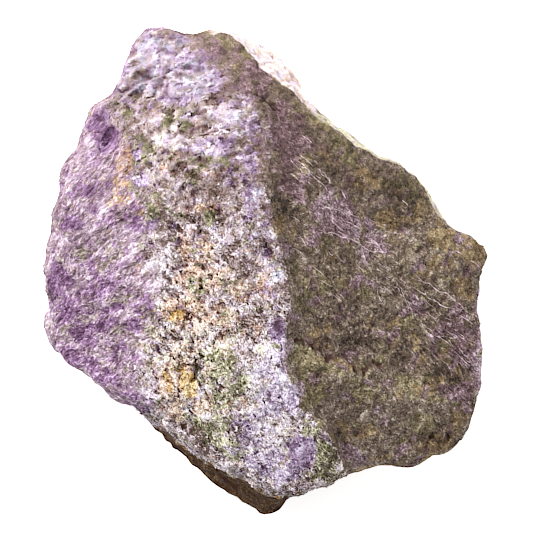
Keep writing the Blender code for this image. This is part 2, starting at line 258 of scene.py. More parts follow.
@dataclass(frozen=True)
class Patch:
    """An oval patch of the face, in millimetres, with its turn in degrees and how strong it is."""

    x: float
    y: float
    half_length: float
    half_width: float
    turn: float = 0.0
    strength: float = 1.0

    def share(self, points: np.ndarray) -> np.ndarray:
        """How much of the patch is at each point, from 0 to its strength.

        Args:
            points: The places, in millimetres.

        Returns:
            The share for each point.
        """
        angle = math.radians(self.turn)
        across = points[:, 0] - self.x
        up = points[:, 1] - self.y
        along = (across * math.cos(angle) + up * math.sin(angle)) / self.half_length
        side = (up * math.cos(angle) - across * math.sin(angle)) / self.half_width
        return self.strength * smooth(1.5, 0.45, np.hypot(along, side))


PATCHES: dict[Tint, tuple[Patch, ...]] = {
    Tint.OCHRE: (
        Patch(-20.6, 14.6, 1.3, 4.8, -5, 0.9), Patch(-21.0, 10.4, 1.6, 1.4, 0, 0.7),
        Patch(-18.6, 9.6, 0.8, 1.6, 0, 0.6), Patch(-13.4, 16.4, 2.4, 0.9, 25, 0.4),
        Patch(-14.6, 15.0, 1.0, 0.5, 0, 0.8), Patch(-16.4, 23.4, 2.6, 1.0, -20, 0.3),
        Patch(-9.2, 9.2, 3.4, 1.0, 0, 0.5), Patch(-7.6, 9.0, 1.6, 0.7, 0, 0.7),
        Patch(-10.0, 3.4, 3.4, 2.6, 0, 0.65), Patch(-11.6, 3.4, 0.8, 1.6, 0, 0.8),
        Patch(-8.4, -1.4, 5.0, 2.4, 0, 0.65), Patch(-11.0, -6.0, 3.6, 2.2, -10, 1.3),
        Patch(-12.6, -6.4, 1.4, 1.2, 0, 1.0), Patch(-10.6, -8.4, 1.2, 1.0, 0, 0.9),
        Patch(-6.0, -6.6, 3.4, 2.2, 0, 0.6), Patch(-2.4, -7.6, 2.4, 1.2, 0, 0.4),
        Patch(-12.6, -15.4, 3.4, 2.6, 100, 1.5), Patch(-15.6, -13.8, 1.4, 1.6, 0, 0.5),
        Patch(-8.5, -18.8, 1.7, 1.5, 0, 1.2), Patch(-3.6, -18.8, 2.4, 1.6, 0, 0.5),
        Patch(0.1, -1.9, 1.1, 2.6, 0, 0.7), Patch(-12.4, -20.6, 2.2, 1.2, -30, 0.6),
        Patch(-3.4, -3.4, 0.8, 1.4, 20, 0.7), Patch(-10.5, -9.5, 6.0, 8.5, 10, 0.4),
    ),
    Tint.OLIVE: (
        Patch(-17.2, 25.6, 1.8, 1.4, 0, 0.8), Patch(-14.2, 22.2, 1.0, 1.6, 0, 0.9),
        Patch(-11.7, 22.0, 0.9, 1.9, 5, 0.9), Patch(-11.2, 28.2, 0.7, 0.5, 0, 1.2),
        Patch(-17.6, 17.4, 2.2, 2.6, 20, 0.7), Patch(-14.6, 18.0, 2.4, 1.2, 0, 0.3),
        Patch(-9.0, 15.8, 3.0, 1.2, 0, 0.5), Patch(-10.6, 13.8, 1.2, 2.2, 20, 0.6),
        Patch(-16.4, 8.6, 2.0, 2.4, 0, 0.8), Patch(-18.6, 12.0, 0.8, 2.6, 10, 0.7),
        Patch(-8.0, 7.6, 1.0, 1.4, 40, 0.9), Patch(-12.4, 8.4, 1.6, 0.8, 0, 0.5),
        Patch(-18.0, 3.6, 1.4, 2.4, 0, 0.4), Patch(-22.0, 2.4, 2.6, 1.6, 20, 0.4),
        Patch(-26.4, 2.6, 2.0, 1.2, 30, 0.5), Patch(-20.4, -3.9, 1.6, 0.8, 10, 0.7),
        Patch(-9.8, -2.4, 1.4, 1.4, 0, 0.8), Patch(-5.2, -2.0, 1.4, 1.2, 0, 0.6),
        Patch(-7.0, -13.4, 2.6, 3.4, 20, 0.6), Patch(-3.4, -16.4, 2.2, 1.2, 0, 0.55),
        Patch(-18.1, 18.9, 1.0, 1.2, 0, 0.9), Patch(-5.5, 16.0, 0.9, 0.7, 0, 1.1),
        Patch(-19.6, 22.8, 1.0, 1.0, 0, 0.8), Patch(8.4, -28.4, 1.4, 1.6, 15, 1.1),
        Patch(-6.4, -18.4, 1.4, 1.4, 0, 0.6), Patch(-5.8, -21.4, 1.8, 1.2, -20, 0.7),
        Patch(-8.6, -22.2, 3.0, 1.4, -35, 0.7), Patch(-4.6, -25.6, 3.4, 1.4, -35, 0.8),
        Patch(8.4, -27.0, 1.6, 3.0, 15, 0.9), Patch(6.6, -22.6, 1.6, 1.2, 0, 0.5),
        Patch(-16.4, -8.0, 2.0, 2.2, 0, 0.5), Patch(11.4, 17.6, 2.6, 1.4, -40, 1.2),
        Patch(20.0, 12.4, 4.0, 2.0, -30, 0.7), Patch(7.4, -2.4, 2.6, 3.0, 0, 0.8),
        Patch(12.8, -2.2, 1.6, 2.0, 0, 0.5), Patch(5.6, -12.0, 1.8, 3.0, 10, 1.1),
        Patch(9.2, -13.6, 3.4, 1.2, -10, 1.1), Patch(6.6, -17.2, 2.0, 2.4, 0, 1.0),
        Patch(14.0, -17.0, 3.0, 2.0, 0, 0.5), Patch(22.8, -22.0, 2.4, 1.6, 0, 1.3),
        Patch(21.4, -17.0, 3.8, 1.4, -25, 0.9), Patch(-2.6, 27.6, 2.0, 1.0, -50, 0.3),
        Patch(-6.4, 33.2, 3.2, 1.0, -15, 0.2), Patch(-2.6, 31.4, 2.0, 1.4, -50, 0.4),
        Patch(0.8, 27.6, 3.0, 0.6, -45, 0.7), Patch(7.0, 22.6, 4.0, 0.7, -40, 0.6),
    ),
    Tint.PURPLE: (
        Patch(30.8, -13.0, 0.8, 4.6, 0, 1.4), Patch(30.9, -4.4, 0.7, 2.0, 0, 1.2),
        Patch(-14.5, 30.5, 6.4, 3.6, 10, 0.35), Patch(-8.0, 28.5, 4.4, 2.2, 0, 0.25),
        Patch(-3.4, 22.4, 3.4, 2.2, 0, 0.4), Patch(-7.2, 18.0, 3.0, 1.6, -5, 0.65),
        Patch(-2.8, 15.6, 2.6, 3.2, 0, 0.4), Patch(-2.2, 10.4, 2.0, 3.4, 0, 0.4),
        Patch(-12.6, 25.8, 3.4, 2.0, 0, 0.5), Patch(0.4, 6.0, 1.0, 5.0, 8, 0.4),
        Patch(0.8, -3.4, 0.8, 3.0, 20, 0.4), Patch(1.7, -8.4, 1.4, 1.8, -10, 1.8),
        Patch(2.9, -13.0, 0.6, 3.6, 0, 0.9), Patch(3.8, -17.8, 1.0, 1.8, 5, 1.1),
        Patch(0.8, -13.4, 2.0, 2.8, 0, 0.6), Patch(2.0, -18.4, 3.4, 3.2, -20, 0.65),
        Patch(-1.6, -22.0, 2.6, 2.4, 0, 0.65), Patch(-1.0, -26.6, 4.0, 3.0, -30, 0.7),
        Patch(5.2, -26.2, 1.8, 2.6, -5, 2.2), Patch(3.0, -29.4, 2.4, 1.2, 0, 0.9),
        Patch(-17.4, -4.4, 1.6, 1.2, 0, 0.4), Patch(-17.8, 13.2, 0.9, 0.8, 0, 0.8),
        Patch(-18.2, 17.0, 0.9, 1.4, 0, 0.8), Patch(-17.4, 6.6, 1.6, 1.2, 0, 0.6),
        Patch(-26.6, 11.6, 3.0, 2.2, 20, 0.15), Patch(-28.0, 7.0, 1.6, 0.8, 0, 0.9),
        Patch(-30.0, -1.2, 1.3, 2.0, 0, 1.3), Patch(-24.4, -2.2, 3.0, 1.6, 20, 0.5),
        Patch(-24.6, 1.4, 2.4, 1.4, 0, 0.3), Patch(-28.6, -5.4, 1.3, 2.2, -20, 1.3),
        Patch(-26.2, -9.5, 2.0, 1.0, -20, 1.4), Patch(-23.3, -7.7, 2.0, 0.8, 12, 1.4),
        Patch(-21.8, -5.3, 1.4, 0.6, 5, 1.2), Patch(-19.0, -7.4, 1.6, 0.9, -10, 0.7),
        Patch(-28.2, -12.2, 1.6, 1.4, -30, 0.9), Patch(-25.4, -13.2, 2.4, 1.4, -20, 0.6),
        Patch(-22.0, -11.8, 3.0, 2.0, 0, 0.35), Patch(-23.2, -15.6, 3.0, 1.6, -30, 0.6),
        Patch(-18.4, -18.6, 2.2, 1.0, -30, 0.8), Patch(-22.7, 19.4, 2.2, 1.4, 60, 1.4),
        Patch(-24.2, 21.8, 1.8, 1.0, 50, 1.0), Patch(3.4, 19.6, 3.0, 5.4, 5, 0.8),
        Patch(-1.4, 27.4, 3.0, 2.8, -40, 0.55), Patch(-7.0, 30.0, 3.2, 2.2, -30, 0.45),
        Patch(4.6, 12.6, 2.4, 3.2, 0, 0.7), Patch(10.6, 8.4, 4.6, 2.8, -35, 0.9),
        Patch(15.0, 6.2, 3.6, 1.6, -35, 0.6), Patch(7.4, 4.6, 2.8, 1.4, -20, 0.5),
        Patch(15.4, 3.2, 2.4, 1.6, -20, 0.7), Patch(15.6, -2.0, 3.4, 2.0, 0, 0.4),
        Patch(21.0, -5.2, 3.0, 1.2, 0, 0.35), Patch(27.6, -7.4, 2.4, 2.4, -40, 0.8),
        Patch(28.2, -12.0, 2.6, 3.4, 0, 0.55), Patch(28.0, -17.0, 2.8, 2.6, 0, 0.65),
        Patch(24.0, -10.0, 3.0, 1.8, -35, 0.5), Patch(12.4, -25.8, 2.4, 1.4, -20, 0.6),
        Patch(12.6, -11.0, 1.2, 1.6, 0, 0.7), Patch(5.0, -17.6, 0.8, 2.0, 10, 0.7),
        Patch(3.4, 3.0, 0.6, 1.2, 0, 0.8), Patch(0.3, 3.1, 0.9, 0.6, 130, 0.5),
        Patch(28.4, -20.4, 1.6, 0.8, 0, 0.8), Patch(15.4, -20.4, 2.6, 1.0, -20, 0.4),
    ),
    Tint.PALE: (
        Patch(4.8, -12.0, 2.0, 3.4, 10, 0.7), Patch(-16.7, -17.6, 1.8, 1.2, -20, 1.3),
        Patch(22.0, -18.4, 4.4, 2.2, -25, 0.85), Patch(11.2, 16.6, 3.0, 1.6, -35, 0.4),
        Patch(-4.8, -27.0, 5.0, 1.4, -35, 0.5), Patch(31.3, -13.0, 0.5, 4.2, 0, 1.5),
        Patch(31.2, -4.4, 0.5, 1.9, 0, 1.5), Patch(-9.0, -13.0, 8.0, 7.0, 0, 0.55),
        Patch(0.6, -19.6, 4.6, 8.6, 0, 1.2), Patch(-5.6, -22.0, 5.0, 4.0, -30, 0.5),
        Patch(-7.0, -3.0, 8.0, 5.0, 0, 0.3), Patch(-16.6, -14.6, 1.2, 4.2, -10, 0.9),
        Patch(-14.6, -15.2, 1.4, 1.8, 0, 0.9), Patch(-6.2, 33.4, 2.4, 1.2, -10, 0.4),
        Patch(-14.8, -18.0, 1.6, 1.0, 0, 1.0), Patch(-8.5, -19.0, 1.6, 1.4, 0, 1.2),
        Patch(-16.0, 1.0, 1.9, 1.0, 10, 1.3), Patch(-16.0, -2.2, 1.4, 0.8, 0, 1.2),
        Patch(1.6, -0.8, 0.9, 1.4, 0, 0.8), Patch(1.0, -12.4, 1.7, 2.0, -20, 1.8),
        Patch(-0.2, -2.4, 1.4, 2.2, 0, 0.8), Patch(1.0, -16.4, 3.2, 1.4, -50, 0.6),
        Patch(-0.6, -22.8, 3.0, 3.4, -30, 0.7), Patch(-1.4, -28.2, 2.6, 1.8, -40, 0.7),
        Patch(0.8, -29.8, 3.6, 1.0, -20, 0.6), Patch(5.2, -25.8, 1.2, 1.8, -5, 0.4),
        Patch(-15.2, 19.2, 3.2, 0.8, -10, 0.5), Patch(-16.4, 22.2, 1.2, 0.6, -30, 0.7),
        Patch(-8.0, 18.2, 2.6, 1.1, -5, 0.1), Patch(-4.2, 22.8, 2.0, 1.4, 0, 0.5),
        Patch(-9.6, 27.0, 3.6, 1.6, 0, 0.6), Patch(-15.6, 31.0, 4.4, 2.0, 10, 0.6),
        Patch(-17.4, 27.5, 3.6, 0.25, 27, 0.8), Patch(-12.8, 26.2, 1.6, 0.9, 0, 0.6),
        Patch(-0.4, 9.0, 1.0, 4.0, 8, 0.3), Patch(0.8, 4.4, 0.8, 1.8, 0, 0.5),
        Patch(-6.4, 5.4, 1.8, 0.9, -30, 1.3), Patch(-3.4, 6.4, 1.0, 0.8, 0, 0.5),
        Patch(-13.6, 13.2, 2.4, 0.8, -15, 0.6), Patch(-17.6, 13.2, 0.9, 0.7, 0, 0.9),
        Patch(-13.8, 6.8, 0.6, 1.4, 0, 0.7), Patch(-24.0, -2.6, 4.0, 1.8, 15, 0.3),
        Patch(-27.5, 12.0, 2.4, 3.0, 0, 0.1), Patch(-24.4, 17.0, 2.6, 1.0, 30, 0.6),
        Patch(-25.8, 18.9, 1.2, 0.8, 0, 0.7), Patch(-31.0, 3.0, 0.9, 5.0, -8, 0.1),
        Patch(-31.6, -7.0, 0.7, 3.6, 0, 0.6), Patch(5.0, 1.2, 0.8, 0.8, 0, 0.8),
        Patch(10.0, -8.6, 1.2, 0.5, 0, 0.9), Patch(10.2, -14.9, 1.1, 0.9, 0, 0.9),
        Patch(17.2, -12.6, 1.4, 0.8, -30, 0.4), Patch(15.0, -21.0, 9.0, 5.0, -10, 0.35),
        Patch(25.0, 4.0, 6.0, 6.0, -30, 0.35), Patch(22.0, -12.0, 6.0, 6.0, 0, 0.25),
        Patch(15.2, 2.6, 2.0, 1.0, -30, 0.4), Patch(17.6, -4.6, 4.0, 0.7, 5, 0.4),
    ),
    # Pits sink into the face, and their darkening is partly painted shade
    Tint.PIT: (
        Patch(-14.2, 21.8, 0.7, 1.1, 0, 0.4), Patch(-18.1, 28.6, 0.5, 0.2, -60, 0.5),
        Patch(-16.6, 28.4, 0.4, 0.2, 20, 0.5), Patch(-19.6, 26.2, 0.6, 0.25, 30, 0.5),
        Patch(0.3, 3.1, 0.8, 0.4, 130, 0.45), Patch(-12.4, 14.8, 1.3, 0.6, 10, 0.2),
        Patch(-22.4, 20.0, 1.1, 0.8, 40, 0.4), Patch(-12.4, -15.0, 0.3, 1.0, 5, 0.4),
        Patch(-11.2, 29.8, 0.8, 0.4, -10, 0.4), Patch(26.9, -23.8, 0.6, 0.4, 60, 0.6),
        Patch(24.2, -24.2, 0.6, 0.4, 20, 0.6),
    ),
    # Darker patches: partly the rock's darker colour, and partly painted shade, as along the crest and in the
    # band above the ledge in the dark face
    Tint.SHADE: (
        Patch(-17.3, 28.9, 1.8, 0.7, 25, 0.4), Patch(-20.0, 26.3, 1.8, 0.6, 35, 0.6),
        Patch(-7.6, 30.8, 2.6, 1.8, -30, 0.2), Patch(-14.1, 22.4, 0.8, 0.9, 0, 0.9),
        Patch(-11.6, 22.0, 1.2, 1.6, 0, 0.2), Patch(-7.0, 18.1, 1.4, 0.9, 0, 0.3),
        Patch(-18.1, 18.9, 1.0, 1.2, 0, 0.5), Patch(-5.5, 16.0, 0.9, 0.7, 0, 0.9),
        Patch(-11.2, 29.8, 0.9, 0.5, -10, 1.0), Patch(-19.6, 22.8, 1.0, 1.0, 0, 0.9),
        Patch(-7.2, -13.1, 1.0, 1.0, 0, 0.4), Patch(8.4, -28.2, 1.4, 2.2, 15, 0.9),
        Patch(-14.1, -16.4, 1.5, 0.7, 105, 0.3), Patch(-23.9, -1.9, 1.6, 1.0, 20, 0.9),
        Patch(-25.7, -4.8, 1.2, 0.8, 0, 0.7), Patch(-24.6, 1.4, 1.6, 1.0, 0, 0.35),
        Patch(-26.8, -1.4, 1.2, 1.4, 0, 0.7), Patch(-30.8, -2.6, 0.7, 2.4, 0, 1.4),
        Patch(-29.8, -9.8, 0.8, 1.2, -30, 0.5), Patch(-16.4, -6.4, 1.6, 1.2, 0, 0.4),
        Patch(-0.8, 13.6, 1.8, 8.6, 5, 0.5), Patch(-10.0, 10.0, 7.0, 5.4, 0, 0.5),
        Patch(27.4, -13.0, 4.4, 7.2, 0, 0.38), Patch(11.0, -6.0, 7.0, 4.6, 0, 0.15),
        Patch(9.0, 17.0, 7.0, 4.0, -35, 0.4), Patch(3.6, 21.0, 3.0, 2.6, 0, 0.8),
        Patch(1.7, -8.4, 1.1, 1.9, -10, 1.4), Patch(-27.6, -8.0, 2.6, 3.0, -20, 0.6),
        Patch(-24.0, -9.0, 6.0, 7.0, 0, 0.3), Patch(-12.2, 14.6, 2.4, 1.4, 30, 0.2),
        Patch(-10.2, 11.8, 2.6, 1.2, -20, 0.6), Patch(-9.0, 5.6, 1.4, 1.0, -30, 0.6),
        Patch(-13.6, 10.4, 1.4, 0.8, 0, 0.5), Patch(-15.0, -10.8, 1.8, 0.8, -10, 0.75),
        Patch(-10.6, -10.6, 0.8, 1.0, 0, 0.7), Patch(-13.2, -9.6, 1.2, 0.8, 0, 0.35),
        Patch(-12.7, -14.6, 0.35, 1.8, 14, 0.9), Patch(-10.2, -12.4, 0.6, 2.6, -10, 0.25),
        Patch(-7.4, -19.0, 0.6, 1.6, 0, 0.7), Patch(-4.0, -24.0, 2.0, 2.0, -30, 0.5),
        Patch(-9.6, -23.4, 3.6, 0.9, -35, 0.9), Patch(-28.0, 7.0, 1.4, 0.6, 0, 0.7),
        Patch(-29.4, -1.4, 1.0, 2.8, -10, 0.7), Patch(-28.2, -5.6, 1.4, 2.4, -20, 0.4),
        Patch(-28.4, -12.0, 1.2, 1.2, 0, 0.8), Patch(-23.5, -7.4, 2.0, 0.7, 12, 0.9),
        Patch(-27.4, 2.4, 2.2, 1.2, 0, 0.3), Patch(-24.0, 22.2, 1.2, 0.8, 50, 0.8),
        Patch(-23.4, 20.2, 1.6, 1.4, 50, 0.5), Patch(3.2, 16.8, 1.6, 5.0, 5, 1.0),
        Patch(-4.3, 27.1, 1.6, 1.6, 0, 0.5), Patch(-2.9, 20.6, 1.6, 2.4, 0, 0.5),
        Patch(11.6, -9.1, 1.8, 1.4, 0, 0.8), Patch(10.9, 17.7, 2.0, 1.2, -40, 0.5),
        Patch(-0.8, 26.0, 2.2, 1.6, -45, 0.5), Patch(2.0, 10.2, 1.0, 3.4, 12, 0.9),
        Patch(4.0, 24.6, 2.4, 1.2, -40, 0.4), Patch(13.2, -10.4, 1.4, 2.0, -20, 0.65),
        Patch(8.6, -10.6, 3.4, 1.1, -10, 0.9), Patch(20.6, -12.2, 4.4, 1.6, -30, 0.5),
        Patch(24.0, -14.4, 3.0, 1.2, -30, 0.6), Patch(17.0, -10.2, 4.0, 1.4, -15, 0.5),
        Patch(28.6, -2.4, 1.6, 1.6, 0, 0.5), Patch(25.0, -25.4, 2.4, 1.0, 20, 0.7),
        Patch(10.6, -24.6, 2.4, 1.6, -40, 0.6), Patch(20.6, 11.6, 3.4, 2.0, -30, 0.5),
        Patch(18.4, 8.4, 2.0, 1.2, 0, 0.4), Patch(-1.4, 27.2, 3.0, 2.4, -45, 0.35),
        Patch(-30.6, 8.6, 0.8, 3.6, -10, 0.4),
    ),
    Tint.BLUISH: (
        Patch(-0.8, 8.0, 1.6, 7.0, 5, 0.5), Patch(-3.6, 21.0, 2.6, 2.6, 0, 0.3),
        Patch(2.0, -14.6, 1.6, 2.6, 0, 0.6), Patch(-1.6, -27.6, 4.4, 1.6, -35, 0.5),
        Patch(-15.4, 0.4, 1.8, 1.8, 0, 0.5), Patch(1.6, -0.8, 1.0, 1.6, 0, 0.8),
    ),
    Tint.AMBER: (
        Patch(-14.0, -15.9, 1.6, 0.9, 105, 0.45), Patch(-11.0, -16.0, 2.3, 1.1, 110, 1.0),
        Patch(-12.4, -6.2, 1.2, 1.0, 0, 0.8), Patch(-8.6, 9.3, 2.4, 0.6, 0, 0.55),
        Patch(-0.2, -2.4, 0.6, 1.2, 0, 0.4), Patch(-11.0, -20.0, 1.0, 1.2, 20, 0.3),
        Patch(-19.9, 16.8, 0.5, 1.4, 0, 0.5), Patch(8.8, 17.6, 2.0, 1.6, -30, 0.8),
        Patch(14.6, 13.2, 4.4, 1.6, -30, 0.8), Patch(18.4, 7.6, 3.0, 1.8, -10, 0.9),
        Patch(24.0, 8.2, 3.4, 1.6, -45, 0.7), Patch(27.4, 4.4, 4.0, 1.8, -20, 1.3),
        Patch(31.0, 2.6, 1.4, 2.2, 0, 1.4), Patch(25.0, 0.8, 4.4, 1.8, -10, 0.6),
        Patch(2.6, 6.4, 1.2, 2.8, 10, 0.7), Patch(8.0, -9.6, 4.0, 2.2, -10, 0.4),
        Patch(10.4, -13.6, 3.4, 0.8, -10, 0.5), Patch(16.4, -7.4, 4.0, 1.4, -5, 0.5),
        Patch(22.4, -11.6, 5.0, 2.2, -30, 0.5), Patch(22.8, -17.4, 3.0, 1.0, -25, 1.0),
        Patch(14.4, -24.2, 5.0, 2.0, -10, 0.6), Patch(25.0, -25.2, 3.0, 1.4, 30, 1.0),
        Patch(27.0, -13.0, 4.0, 6.0, -50, 0.4), Patch(28.4, -21.4, 1.2, 3.0, -20, 0.9),
        Patch(18.0, -27.4, 5.0, 0.9, 5, 0.6), Patch(28.8, -1.6, 1.6, 2.2, 0, 0.8),
    ),
}

# Where the dark face has parallel ribs, and where the crust is broken into clumps
RIBBED_PATCH = Patch(26.6, -12.6, 6.4, 4.6, -50)
RUGGED_PATCHES = (
    Patch(-12.0, -12.0, 8.0, 5.0, 70), Patch(-10.0, 2.0, 9.0, 5.4, 80), Patch(-12.0, 16.0, 8.0, 6.0, 20, 0.8),
)

# The violet crystals at the edge of the crust, which are calmer than the rest
SMOOTH_PATCHES = (Patch(5.2, -26.0, 1.8, 2.4, -5, 0.5), Patch(1.7, -8.4, 1.1, 1.7, -10, 0.4))

# A flat chip at the outer edge of the bevel
BEVEL_CHIP = Patch(7.1, 23.5, 2.4, 0.6, -46)

# Where fine pale threads lie on the dark face. The first is listed twice, so it has twice as many.
THREADED_PATCHES = (
    Patch(11.5, 6.5, 9.0, 4.5, -38), Patch(11.5, 6.5, 9.0, 4.5, -38), Patch(19.0, -2.0, 7.0, 4.0, -30),
    Patch(26.0, -10.0, 6.0, 5.0, -50), Patch(6.0, 15.0, 4.0, 3.0, -60), Patch(12.0, 0.0, 12.0, 6.0, -38),
)

# The pale veins that cross the dark face, each as points on the face from its upper end
VEINS = (
    ((6.0, 14.9), (7.5, 13.2), (8.8, 11.9), (10.3, 10.9)),
    ((10.4, 12.3), (11.2, 11.4), (12.2, 10.3)),
    ((8.6, 14.4), (9.1, 13.5), (9.6, 12.9)),
    ((6.1, 10.6), (6.9, 9.2), (8.0, 8.2)),
    ((7.4, 10.4), (8.6, 9.5), (9.6, 9.0), (10.0, 7.3), (10.4, 6.7)),
    ((7.4, 6.2), (8.6, 5.6), (9.4, 5.8), (10.9, 4.8), (12.5, 4.8), (13.8, 4.0), (15.2, 3.4), (16.9, 3.0),
     (19.0, 2.6)),
    ((12.1, 7.1), (13.3, 6.5), (14.0, 5.9)),
    ((15.0, 5.1), (16.0, 4.2), (16.2, 3.6)),
    ((13.9, 3.8), (14.4, 1.9), (15.2, 0.9)),
    ((16.9, 7.2), (17.7, 6.5)),
    ((18.5, 6.1), (19.3, 5.5)),
    ((19.6, 10.5), (20.8, 9.4)),
    ((27.6, 3.2), (29.0, 2.0), (31.2, 0.6)),
    ((21.0, 0.3), (24.4, -2.2), (28.0, -4.4), (31.2, -7.0)),
    ((21.0, -1.9), (24.2, -4.0), (27.4, -5.6), (30.5, -7.7)),
    ((16.0, -2.6), (16.6, -3.6), (17.1, -4.8)),
    ((23.2, -8.0), (25.6, -9.8), (28.0, -12.0), (30.2, -13.8)),
)


@dataclass(frozen=True)
class Crease:
    """A furrow in the face, or a ridge if it rises, as points on the face with its size in millimetres."""

    points: tuple[tuple[float, float], ...]
    half_width: float
    rise: float

    def share(self, points: np.ndarray) -> np.ndarray:
        """How much of the crease is at each point, from 0 to 1.

        Args:
            points: The places, in millimetres.

        Returns:
            The share for each point.
        """
        nearest = np.full(len(points), 99.0)
        for (x1, y1), (x2, y2) in itertools.pairwise(self.points):
            run = np.array((x2 - x1, y2 - y1))
            from_start = points[:, :2] - (x1, y1)
            along = np.clip(from_start @ run / (run @ run), 0.0, 1.0)
            nearest = np.minimum(nearest, np.linalg.norm(from_start - along[:, None] * run, axis=1))
        return smooth(self.half_width * 1.6, self.half_width * 0.3, nearest)


CREASES = (
    # The open crack through the ochre part of the crust, and the short ones beside it
    Crease(((-11.5, -4.5), (-10.7, -6.1), (-10.6, -9.0), (-10.4, -10.9), (-9.9, -12.9), (-10.0, -15.2),
            (-8.8, -16.5), (-8.4, -18.0), (-7.4, -20.3)), 0.15, -0.45),
    Crease(((-10.7, -6.1), (-9.3, -7.0)), 0.18, -0.45),
    Crease(((-16.2, -10.3), (-15.3, -11.1), (-14.2, -10.9), (-13.2, -11.7)), 0.16, -0.45),
    Crease(((-13.3, -9.4), (-11.7, -9.9)), 0.22, -0.5),
    Crease(((-14.6, -0.3), (-13.6, -1.6)), 0.30, -0.5),
    Crease(((-13.4, 0.4), (-11.2, 0.9)), 0.28, -0.4),
    Crease(((0.0, 3.6), (0.9, 2.8)), 0.35, -0.6),
    # The furrows between the fibres of the flank, darkened with painted shade
    Crease(((-29.6, 7.3), (-27.8, 6.5), (-25.9, 5.7)), 0.36, -0.5),
    Crease(((-28.0, 4.5), (-27.0, 3.2), (-26.0, 2.8)), 0.28, -0.4),
    Crease(((-27.1, 3.2), (-25.1, 5.1), (-23.0, 6.2), (-20.7, 7.4)), 0.26, -0.35),
    Crease(((-27.4, 1.2), (-25.1, 2.6), (-23.2, 4.5), (-21.6, 5.2)), 0.26, -0.3),
    Crease(((-30.0, 1.2), (-28.6, -0.3), (-27.6, -2.4)), 0.42, -0.5),
    # The ledge below the hump at the upper left, with its foot darkened by painted shade
    Crease(((-22.8, 24.3), (-20.6, 25.0), (-18.8, 26.5), (-16.9, 27.5), (-13.4, 28.6)), 0.20, 0.40),
    Crease(((-20.2, 24.3), (-18.3, 25.9), (-17.2, 26.4)), 0.16, -0.14),
    # The crevice below the top knob, and the two holes in the dark face
    Crease(((-1.0, 25.8), (0.6, 24.6), (2.2, 23.2)), 0.30, -0.3),
    Crease(((24.0, -24.1), (24.5, -24.2)), 0.34, -0.4),
    Crease(((26.8, -23.8), (27.1, -24.0)), 0.28, -0.4),
)


